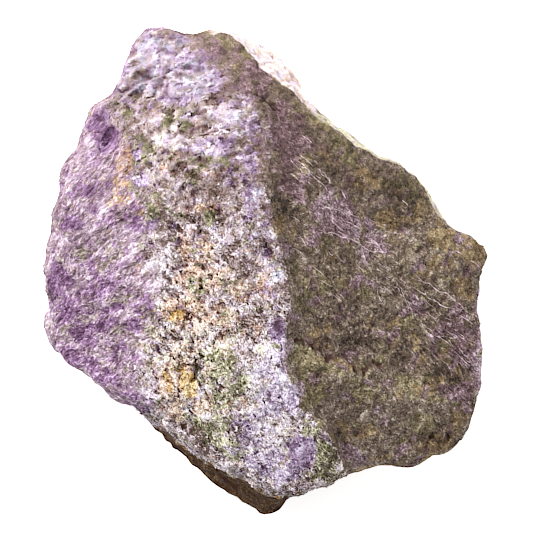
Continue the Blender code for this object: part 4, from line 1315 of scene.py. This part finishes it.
    def _tint_crust(self, masks: dict[str, np.ndarray], points: np.ndarray, left: np.ndarray) -> None:
        """Adds amber to the crust's ochre, and makes the crust bluish where it is calm.

        Args:
            masks: How much of each face and tint is at each point, which is added to.
            points: The skin, in millimetres.
            left: How far each point belongs to the crust and the flank.
        """
        calm = masks["calm"]
        quiet = left * smooth(23.0, 27.0, points[:, 1])
        masks[Tint.AMBER.value] += 0.3 * left * masks[Tint.OCHRE.value]
        masks[Tint.OCHRE.value] -= left * (0.3 * calm + 0.6 * quiet)
        masks[Tint.OLIVE.value] -= left * (0.2 * calm + 0.7 * quiet)
        masks[Tint.PURPLE.value] += 0.18 * left * calm
        masks[Tint.BLUISH.value] += left * (0.40 * calm + 0.15 * quiet)
        masks[Tint.PALE.value] += 0.28 * left * quiet

    def _tint_sides(
        self, masks: dict[str, np.ndarray], points: np.ndarray, flank_wall: np.ndarray, wander: Noise
    ) -> None:
        """Gives the sides and the back their minerals, in violet bands, with an amber brown wall at the foot,
        darkened by painted shade.

        Args:
            masks: How much of each face and tint is at each point, which is added to.
            points: The skin, in millimetres.
            flank_wall: How far each point belongs to the side below the flank.
            wander: The noise that lays the bands.
        """
        beyond = 1 - masks["front"]
        bands = wander.layered(turned(points, DARK_FIBRE_TURN, 2.5), 7.0, 3)
        wall = beyond * (1 - flank_wall)
        foot_wall = wall * smooth(12.0, 6.0, points[:, 0]) * smooth(0.0, -6.0, points[:, 1])
        violet = 0.7 * smooth(0.25, 0.6, bands)
        masks[Tint.PURPLE.value] += (wall - foot_wall) * violet - 0.5 * foot_wall - 0.4 * beyond * flank_wall
        masks[Tint.OLIVE.value] += 0.4 * wall
        # The foot wall is warmed to amber brown, and its darkening is painted shade
        masks[Tint.AMBER.value] += 0.5 * wall + 1.3 * foot_wall
        masks[Tint.SHADE.value] += 2.0 * foot_wall

    def _tint_bevel(self, masks: dict[str, np.ndarray], points: np.ndarray, bevel: np.ndarray) -> None:
        """Makes the bevel pale, partly as painted backlight on the thin edge, with ochre where it starts by
        the knob and olive farther right.

        Args:
            masks: How much of each face and tint is at each point, which is added to.
            points: The skin, in millimetres.
            bevel: How far each point belongs to the bevel.
        """
        by_knob = smooth(10.0, 5.0, points[:, 0])
        masks[Tint.OLIVE.value] += bevel * (0.6 - 1.1 * by_knob)
        # The bevel is lifted far towards white, partly as painted backlight
        for tint, least in ((Tint.PALE, 2.3), (Tint.PURPLE, 0.15), (Tint.OCHRE, 0.35 * by_knob)):
            masks[tint.value] = np.maximum(masks[tint.value], least * bevel)

    def _rib_phase(self, points: np.ndarray) -> np.ndarray:
        """Where each point is between the dark face's ribs, as an angle that grows across them.

        Args:
            points: The skin, in millimetres.

        Returns:
            The angle for each point, in radians.
        """
        lay = turned(points, RIB_TURN, 3.0)
        sway = Noise(31).layered(lay, 2.4, 3)
        return (lay[:, 1] / self.rib_spacing + 1.3 * sway) * math.tau

    def _broken(
        self, points: np.ndarray, normals: np.ndarray, masks: dict[str, np.ndarray]
    ) -> tuple[np.ndarray, np.ndarray]:
        """Moves each point in or out, as the rock breaks on its face.

        Args:
            points: The smooth skin, in millimetres.
            normals: The direction each point faces.
            masks: How much of each face and tint is at each point.

        Returns:
            The broken skin, and how high each point stands among its neighbours, from -1 to 1.
        """
        noise, fine = Noise(11), Noise(23)
        flank, dark = masks["flank"], masks["dark"]
        crust = np.clip(masks["crust"] - flank, 0.0, 1.0) * masks["front"]
        side = np.clip(1 - crust - flank - dark, 0.0, 1.0)
        speck = fine.layered(points, 0.7, 2)
        drift = np.column_stack([fine.layered(points + offset, 1.6, 2) for offset in (0.0, 20.0, 40.0)])
        bent = points + self.bend_reach * drift
        # The crust has torn gaps that stand apart, level high up and slanting low down
        level = noise.layered(turned(bent, CRUST_LEVEL_TURN, 1.9), self.grain_size, 3)
        slanting = noise.layered(turned(bent, CRUST_STREAK_TURN, 1.7), 0.8 * self.grain_size, 3)
        lump = 1 - 2 * smooth(-0.10, -0.50, slanting + smooth(0.3, 0.6, masks["calm"]) * (level - slanting))
        clump = noise.layered(bent, self.clump_size)
        rugged = 0.35 + 0.65 * masks["rugged"]
        relief = crust * (self.clump_height * clump + self.grain_height * rugged * lump + 0.10 * speck)
        rise = crust * np.minimum(0.7 * rugged * lump + 0.5 * clump, 1.0)
        # The flank has fibres and broad swells, lower where it turns down to the side
        lay = fanned(points)
        fibre = 1 - 2 * np.abs(noise.layered(lay / (5.0, 1.0, 1.0) + 0.2 * drift, self.fibre_size, 3))
        swell = noise.layered(lay / (2.0, 1.0, 1.0), 2.6, 2)
        folded = flank * (0.4 + 0.6 * masks["front"])
        relief += folded * (self.fibre_height * fibre + 0.30 * swell + 0.07 * speck)
        rise += flank * (0.8 * fibre + 0.4 * swell)
        # The dark face has small plates, streaks and grit, and ribs at its right
        plate = fine.lumps(bent, self.plate_size) - 0.5
        streak = noise.layered(turned(bent, DARK_FIBRE_TURN, 3.5), 1.0, 2)
        grit = noise.layered(points + 60.0, 1.1, 3)
        ribs = masks["ribbed"] * np.sin(masks["rib"])
        relief += dark * self.dark_height * (0.5 * streak + 0.5 * plate + 0.8 * grit + 0.3 * ribs)
        rise += dark * (0.5 * streak + 0.6 * grit + 0.2 * ribs)
        relief += side * self.side_height * (noise.layered(points, 1.9, 3) + 0.4 * plate)
        relief -= 0.5 * masks["pit"]
        self._step_ledge(points, dark, speck, relief, rise)
        for crease in CREASES:
            share = crease.share(points + 0.25 * speck[:, None]) * masks["front"]
            relief += crease.rise * share
            # Where a furrow runs, the rise mask is set low, so the finish paints shade along it
            if crease.rise < 0:
                rise = np.minimum(rise, 1 - (1.9 - 0.6 * flank) * share)
        moved = points + normals * relief[:, None]
        resting = points[:, 2] < self.rest_height
        moved[resting] = points[resting]
        moved[:, 2] = np.maximum(moved[:, 2], 0.0)
        return moved, np.clip(rise, -1.0, 1.0)

    def _step_ledge(
        self, points: np.ndarray, dark: np.ndarray, speck: np.ndarray, relief: np.ndarray, rise: np.ndarray
    ) -> None:
        """Raises the dark face below the ledge's line, with painted shade at its foot above the line and a
        painted highlight on its edge below.

        Args:
            points: The smooth skin, in millimetres.
            dark: How far each point belongs to the dark face.
            speck: Fine noise that makes the line uneven.
            relief: How far each point moves out, in millimetres, which is added to.
            rise: How high each point stands among its neighbours, which is added to.
        """
        below = along_line(LEDGE, points[:, 0]) + 0.5 * speck - points[:, 1]
        reach = dark * smooth(3.0, 4.5, points[:, 0]) * smooth(20.0, 15.0, points[:, 0])
        relief += self.ledge_height * reach * smooth(-0.12, 0.12, below) * smooth(9.0, 0.5, below)
        # Painted shade at the step's foot, and a painted highlight on its edge
        rise -= 1.1 * reach * smooth(-1.3, -0.2, below) * smooth(0.25, 0.0, below)
        rise += 0.5 * reach * smooth(0.1, 0.4, below) * smooth(1.8, 0.6, below)


class Shape(Enum):
    """The form of a loose piece before it is turned and stretched."""

    BLOCK = "GeometryNodeMeshCube"
    SPLINTER = "GeometryNodeMeshUVSphere"


class Draw(IntEnum):
    """What each random draw of a scatter decides. The value is added to the scatter's seed."""

    TONE = 1
    SIZE = 3
    UNEVEN = 4
    SWING = 5
    TILT = 6


@dataclass
class Scatter:
    """Small loose pieces spread over one face of the rock, as one mesh.

    Sizes are in millimetres, the turn in degrees and the swing in radians.
    """

    name: str
    mask: str
    shape: Shape
    per_square_mm: float
    smallest: float
    largest: float
    stretch: tuple[float, float, float]
    seed: int
    turn: float = 0.0
    swing: float = math.pi
    jagged: float = 0.05
    jag_size: float = 0.3

    def build(self, rock: bpy.types.Object, material: bpy.types.Material) -> bpy.types.Object:
        """Spreads the pieces.

        Args:
            rock: The finished skin that they lie on.
            material: Their finish.

        Returns:
            The pieces as one plain object.
        """
        tree = self._tree()
        spread = rock.modifiers.new(self.name, "NODES")
        spread.node_group = tree
        values = {
            "Density": self.per_square_mm / MM**2,
            "Smallest": self.smallest * MM,
            "Largest": self.largest * MM,
            "Turn": math.radians(self.turn),
            "Swing": self.swing,
            "Finish": material,
        }
        for socket in tree.interface.items_tree:
            if socket.name in values:
                spread[socket.identifier] = values[socket.name]
        mesh = evaluated_mesh(rock)
        rock.modifiers.remove(spread)
        mesh.name = self.name
        return linked(self.name, mesh)

    def _tree(self) -> bpy.types.GeometryNodeTree:
        """The nodes that spread the pieces, with their sizes as inputs.

        Returns:
            The finished tree.
        """
        tree = bpy.data.node_groups.new(self.name, "GeometryNodeTree")
        tree.interface.new_socket("Rock", in_out="INPUT", socket_type="NodeSocketGeometry")
        for name in ("Density", "Smallest", "Largest", "Turn", "Swing"):
            tree.interface.new_socket(name, in_out="INPUT", socket_type="NodeSocketFloat")
        tree.interface.new_socket("Finish", in_out="INPUT", socket_type="NodeSocketMaterial")
        tree.interface.new_socket("Pieces", in_out="OUTPUT", socket_type="NodeSocketGeometry")
        graph = Graph(tree)
        given = graph.node("NodeGroupInput").outputs
        share = graph.node("GeometryNodeInputNamedAttribute", {"data_type": "FLOAT"}, {"Name": self.mask})
        density = graph.math("MULTIPLY", share.outputs["Attribute"], given["Density"])
        inputs = {"Mesh": given["Rock"], "Density": density, "Seed": self.seed}
        spots = graph.node("GeometryNodeDistributePointsOnFaces", {"distribute_method": "RANDOM"}, inputs)
        odd = graph.math("MULTIPLY_ADD", self._random(graph, Draw.TONE), 2.0, -1.0)
        points = self._stored(graph, spots.outputs["Points"], "odd", odd)
        rotation = self._rotation(graph, given, spots.outputs["Normal"])
        mostly_small = graph.math("POWER", self._random(graph, Draw.SIZE), 2.0)
        extra = graph.math("SUBTRACT", given["Largest"], given["Smallest"])
        size = graph.math("MULTIPLY_ADD", mostly_small, extra, given["Smallest"])
        uneven = self._random_vector(graph, Draw.UNEVEN, (0.75, 0.75, 0.75), (1.25, 1.25, 1.25))
        scale = graph.scaled(graph.vector_math("MULTIPLY", uneven, self.stretch), size)
        form = {"Segments": 4, "Rings": 2, "Radius": 1.0}
        if self.shape is Shape.BLOCK:
            form = {"Size": (1.6, 1.6, 1.6)}
        body = graph.node(self.shape.value, {}, form)
        inputs = {"Points": points, "Instance": body.outputs["Mesh"], "Rotation": rotation, "Scale": scale}
        placed = graph.node("GeometryNodeInstanceOnPoints", {}, inputs).outputs["Instances"]
        solid = graph.node("GeometryNodeRealizeInstances", {}, {"Geometry": placed}).outputs["Geometry"]
        rough = graph.node("GeometryNodeSetPosition", {}, {"Geometry": solid, "Offset": self._jag(graph)})
        inputs = {"Geometry": rough.outputs[0], "Shade Smooth": False}
        flat = graph.node("GeometryNodeSetShadeSmooth", {}, inputs)
        inputs = {"Geometry": flat.outputs[0], "Material": given["Finish"]}
        finished = graph.node("GeometryNodeSetMaterial", {}, inputs)
        graph.node("NodeGroupOutput", {}, {"Pieces": finished.outputs[0]})
        return tree

    def _stored(self, graph: Graph, points: object, name: str, value: object) -> bpy.types.NodeSocket:
        """The points with a value kept on each one under a name.

        Args:
            graph: The tree's graph.
            points: The points.
            name: What the value is called.
            value: The value's socket.

        Returns:
            The points' socket.
        """
        settings = {"data_type": "FLOAT", "domain": "POINT"}
        inputs = {"Geometry": points, "Name": name, "Value": value}
        return graph.node("GeometryNodeStoreNamedAttribute", settings, inputs).outputs["Geometry"]

    def _random(self, graph: Graph, draw: Draw) -> bpy.types.NodeSocket:
        """A random number from 0 to 1 for each piece."""
        settings = {"data_type": "FLOAT"}
        return graph.node("FunctionNodeRandomValue", settings, {"Seed": self.seed + draw.value}).outputs[1]

    def _random_vector(self, graph: Graph, draw: Draw, low: tuple, high: tuple) -> bpy.types.NodeSocket:
        """A random vector between two corners for each piece."""
        inputs = {0: low, 1: high, "Seed": self.seed + draw.value}
        return graph.node("FunctionNodeRandomValue", {"data_type": "FLOAT_VECTOR"}, inputs).outputs[0]

    def _rotation(self, graph: Graph, given: object, normal: object) -> bpy.types.NodeSocket:
        """Lays each piece along the fibres and against the face, give or take its swing.

        Args:
            graph: The tree's graph.
            given: The tree's inputs.
            normal: The way the face looks at each point.

        Returns:
            The rotation's socket.
        """
        off = graph.math("MULTIPLY_ADD", self._random(graph, Draw.SWING), 2.0, -1.0)
        angle = graph.math("MULTIPLY_ADD", off, given["Swing"], given["Turn"])
        along = graph.node("ShaderNodeCombineXYZ", {}, {
            "X": graph.math("COSINE", angle), "Y": graph.math("SINE", angle),
        }).outputs[0]
        tilt = self._random_vector(graph, Draw.TILT, (-0.25, -0.25, -0.25), (0.25, 0.25, 0.25))
        axes = {"Primary Axis": graph.vector_math("ADD", normal, tilt), "Secondary Axis": along}
        settings = {"primary_axis": "Z", "secondary_axis": "X"}
        return graph.node("FunctionNodeAxesToRotation", settings, axes).outputs[0]

    def _jag(self, graph: Graph) -> bpy.types.NodeSocket:
        """How far each corner of a piece is pushed, so that no two are alike.

        Args:
            graph: The tree's graph.

        Returns:
            The push's socket, in metres.
        """
        place = graph.node("GeometryNodeInputPosition").outputs[0]
        inputs = {"Vector": place, "Scale": 1 / (self.jag_size * MM), "Detail": 1.0}
        push = graph.node("ShaderNodeTexNoise", {}, inputs).outputs["Color"]
        centred = graph.vector_math("SUBTRACT", push, (0.5, 0.5, 0.5))
        return graph.scaled(centred, 4 * self.jagged * MM)


@dataclass
class PaleVeins:
    """The hair-thin pale veins and threads on the dark face.

    Sizes are in millimetres, a thread's from its middle, and the threads' spread is in degrees.
    """

    half_width: float = 0.085
    thread_half_width: float = 0.042
    threads: int = 150
    step: float = 0.22
    wander: float = 0.15
    bend_spacing: float = 0.9
    thread_spread: float = 13.0
    shortest_thread: float = 0.5
    extra_thread: float = 1.3
    zone_spread: float = 0.55
    past_crest: float = 1.0
    broken_share: float = 0.03
    drop_height: float = 100.0
    lift: float = 0.02
    seed: int = 3

    def build(self, rock: bpy.types.Object, material: bpy.types.Material) -> bpy.types.Object:
        """Lays the veins on the skin.

        Args:
            rock: The finished skin.
            material: Their finish.

        Returns:
            The veins as one object.
        """
        skin = BVHTree.FromObject(rock, bpy.context.evaluated_depsgraph_get())
        draw = np.random.default_rng(self.seed)
        corners: list[Vector] = []
        faces: list[tuple[int, ...]] = []
        lines = [(vein, self.half_width) for vein in VEINS]
        lines += [(thread, self.thread_half_width) for thread in self._threads(draw)]
        for line, half_width in lines:
            for run in self._runs(line, draw):
                spine = [hit for hit in (self._on_skin(skin, x, y) for x, y in run) if hit is not None]
                if len(spine) > 2:
                    self._sweep(spine, half_width, draw, corners, faces)
        mesh = bpy.data.meshes.new("pale_veins")
        mesh.from_pydata(corners, [], faces)
        mesh.materials.append(material)
        return linked("pale_veins", mesh)

    def _threads(self, draw: np.random.Generator) -> list[tuple[tuple[float, float], ...]]:
        """Short straight hairlines along the dark face's streaks, where it is mauve.

        Args:
            draw: The source of their places.

        Returns:
            The two ends of each, in millimetres.
        """
        threads = []
        for _ in range(self.threads):
            zone = THREADED_PATCHES[draw.integers(len(THREADED_PATCHES))]
            spot = draw.normal(scale=self.zone_spread, size=2) * (zone.half_length, zone.half_width)
            angle = math.radians(zone.turn)
            x = zone.x + spot[0] * math.cos(angle) - spot[1] * math.sin(angle)
            y = zone.y + spot[0] * math.sin(angle) + spot[1] * math.cos(angle)
            lay = math.radians(draw.normal(DARK_FIBRE_TURN, self.thread_spread))
            half = self.shortest_thread + self.extra_thread * draw.random() ** 2
            if x - half > along_line(CREST, np.array([y]))[0] + self.past_crest:
                run, rise = half * math.cos(lay), half * math.sin(lay)
                threads.append(((x - run, y - rise), (x + run, y + rise)))
        return threads

    def _runs(self, vein: tuple[tuple[float, float], ...], draw: np.random.Generator) -> list[np.ndarray]:
        """A vein's line in short steps that wander, broken off here and there.

        Args:
            vein: The points it runs through, in millimetres.
            draw: The source of its bends and breaks.

        Returns:
            The unbroken runs of the line.
        """
        knots = np.array(vein)
        gone = np.concatenate(([0.0], np.cumsum(np.linalg.norm(np.diff(knots, axis=0), axis=1))))
        places = np.arange(0.0, gone[-1], self.step)
        line = np.column_stack([np.interp(places, gone, knots[:, axis]) for axis in (0, 1)])
        bends = np.arange(0.0, gone[-1] + 2.0, self.bend_spacing)
        for axis in (0, 1):
            line[:, axis] += np.interp(places, bends, draw.normal(scale=self.wander, size=len(bends)))
        cuts = np.flatnonzero(draw.random(len(line)) < self.broken_share)
        return [run[1:] for run in np.split(line, cuts) if len(run) > 4]

    def _on_skin(self, skin: BVHTree, x: float, y: float) -> Vector | None:
        """The place just off the skin below a point, in metres, or nothing beside the stone.

        Args:
            skin: The skin as a search tree.
            x: The point's place to the right, in millimetres.
            y: The point's place upwards in the view, in millimetres.

        Returns:
            The place, or None.
        """
        start = Vector((x * MM, y * MM, self.drop_height * MM))
        hit, normal, _, _ = skin.ray_cast(start, Vector((0, 0, -1)))
        return None if hit is None else hit + normal * self.lift * MM

    def _sweep(
        self,
        spine: list[Vector],
        half_width: float,
        draw: np.random.Generator,
        corners: list[Vector],
        faces: list[tuple[int, ...]],
    ) -> None:
        """Adds a closed sliver along a spine, widest in its middle.

        Args:
            spine: The places it runs through.
            half_width: Half its width in the middle, in millimetres.
            draw: The source of its unevenness.
            corners: The mesh's corners so far, which are added to.
            faces: The mesh's faces so far, which are added to.
        """
        start = len(corners)
        last = len(spine) - 1
        for index, place in enumerate(spine):
            ahead = (spine[min(index + 1, last)] - spine[max(index - 1, 0)]).normalized()
            side = ahead.cross(Vector((0, 0, 1))).normalized()
            swell = math.sin(math.pi * (index + 0.5) / (last + 1)) ** 0.5
            width = half_width * MM * swell * (0.4 + 1.0 * draw.random())
            up = Vector((0, 0, 1)) * width * 0.8
            corners.extend((place + side * width, place + up, place - side * width, place - up))
        for index in range(last):
            near, far = start + 4 * index, start + 4 * index + 4
            for corner in range(4):
                after = (corner + 1) % 4
                faces.append((near + corner, near + after, far + after, far + corner))
        faces.append((start + 3, start + 2, start + 1, start))
        end = start + 4 * last
        faces.append((end, end + 1, end + 2, end + 3))


@dataclass
class Studio:
    """The pale floor, the soft light and the camera that looks straight down on the stone.

    The camera's frame is in millimetres. The floor and the lights are in metres and watts.
    """

    lens: float = 900.0
    sensor: float = 36.0
    view_width: float = 77.3
    view_centre: tuple[float, float] = (0.22, 0.80)
    sharp_height: float = 14.0
    floor_colour: Colour = (0.93, 0.93, 0.93)
    floor_glow: float = 0.62
    floor_reach: float = 3.0
    key_place: tuple[float, float, float] = (-0.42, 0.34, 0.50)
    key_size: float = 0.16
    key_power: float = 6.6
    rim_place: tuple[float, float, float] = (0.30, 0.52, 0.12)
    rim_size: float = 0.20
    rim_power: float = 0.9
    aim: tuple[float, float, float] = (0.0, 0.0, 0.01)
    fill: float = 0.62
    sharpening: float = 0.045

    def build(self) -> None:
        """Sets the whole stage."""
        self._floor()
        self._lights()
        self._camera()
        self._develop()

    def _floor(self) -> None:
        """A plain floor that the stone lies on, bright enough to drown its shadow."""
        mesh = bpy.data.meshes.new("floor")
        reach = self.floor_reach
        corners = [(-reach, -reach, 0), (reach, -reach, 0), (reach, reach, 0), (-reach, reach, 0)]
        mesh.from_pydata(corners, [], [(0, 1, 2, 3)])
        floor = linked("floor", mesh)
        material, graph, shader = new_material("floor_white")
        graph.feed(shader.inputs["Base Color"], self.floor_colour)
        shader.inputs["Roughness"].default_value = 0.9
        graph.feed(shader.inputs["Emission Color"], (1.0, 1.0, 1.0))
        shader.inputs["Emission Strength"].default_value = self.floor_glow
        mesh.materials.append(material)

    def _area(self, name: str, place: tuple[float, float, float], size: float, power: float) -> None:
        """A square light that points at the stone.

        Args:
            name: What the light is called.
            place: Where it stands, in metres.
            size: Its side, in metres.
            power: Its power, in watts.
        """
        data = bpy.data.lights.new(name, "AREA")
        data.size = size
        data.energy = power
        light = bpy.data.objects.new(name, data)
        light.location = place
        light.rotation_euler = (Vector(self.aim) - Vector(place)).to_track_quat("-Z", "Y").to_euler()
        bpy.context.scene.collection.objects.link(light)

    def _lights(self) -> None:
        """A soft key from the upper left, a low light behind the upper right edge, and even fill."""
        self._area("key", self.key_place, self.key_size, self.key_power)
        self._area("rim", self.rim_place, self.rim_size, self.rim_power)
        world = bpy.data.worlds.new("studio")
        bpy.context.scene.world = world
        world.use_nodes = True
        sky = world.node_tree.nodes["Background"]
        sky.inputs["Color"].default_value = (1.0, 1.0, 1.0, 1.0)
        sky.inputs["Strength"].default_value = self.fill

    def _camera(self) -> None:
        """A long lens straight above the stone."""
        data = bpy.data.cameras.new("camera")
        data.lens = self.lens
        data.sensor_width = self.sensor
        data.clip_start = 0.01
        data.clip_end = 10.0
        distance = self.view_width * self.lens / self.sensor
        x, y = self.view_centre
        camera = bpy.data.objects.new("camera", data)
        camera.location = (x * MM, y * MM, (self.sharp_height + distance) * MM)
        bpy.context.scene.collection.objects.link(camera)
        bpy.context.scene.camera = camera
        bpy.context.scene.view_settings.view_transform = "Standard"

    def _develop(self) -> None:
        """Sharpens the picture a little, as a camera does."""
        scene = bpy.context.scene
        scene.use_nodes = True
        graph = Graph(scene.node_tree)
        graph.tree.nodes.clear()
        taken = graph.node("CompositorNodeRLayers").outputs["Image"]
        inputs = {"Fac": self.sharpening, "Image": taken}
        crisp = graph.node("CompositorNodeFilter", {"filter_type": "SHARPEN"}, inputs).outputs["Image"]
        graph.node("CompositorNodeComposite", {}, {"Image": crisp})


def settle(piece: bpy.types.Object) -> None:
    """Makes a finished piece ride on the stone's body, and logs how many triangles it has.

    Args:
        piece: The piece.
    """
    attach(piece, BODY)
    piece.data.calc_loop_triangles()
    LOG.info("%s has %d triangles", piece.name, len(piece.data.loop_triangles))


def main() -> None:
    """Builds the stone's looks in order."""
    logging.basicConfig(level=logging.INFO, format="%(message)s")
    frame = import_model()
    Studio().build()
    finish = RockFinish(CRUST_PALETTE.build(), FLANK_PALETTE.build(), DARK_PALETTE.build()).build()
    rock = BrokenRock().build(frame["nodes"][STONE_NODE], finish)
    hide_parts(STONE_NODE)
    grains = Scatter(
        "crust_grains", "grainy", Shape.BLOCK, per_square_mm=5.0, smallest=0.07, largest=0.24,
        stretch=(1.7, 1.0, 0.7), seed=4, jagged=0.07,
    )
    splinters = Scatter(
        "flank_splinters", "flank", Shape.SPLINTER, per_square_mm=11.0, smallest=0.05, largest=0.09,
        stretch=(8.0, 1.1, 1.0), seed=14, turn=FLANK_FIBRE_TURN, swing=0.4, jagged=0.04,
    )
    flecks = Scatter(
        "dark_face_flecks", "dark", Shape.SPLINTER, per_square_mm=9.0, smallest=0.04, largest=0.09,
        stretch=(4.0, 1.0, 0.8), seed=24, turn=DARK_FIBRE_TURN, swing=1.0, jagged=0.04,
    )
    pieces = (
        rock,
        grains.build(rock, finish),
        splinters.build(rock, finish),
        flecks.build(rock, finish),
        PaleVeins().build(rock, VeinFinish().build()),
    )
    for piece in pieces:
        settle(piece)


if __name__ == "__main__":
    main()
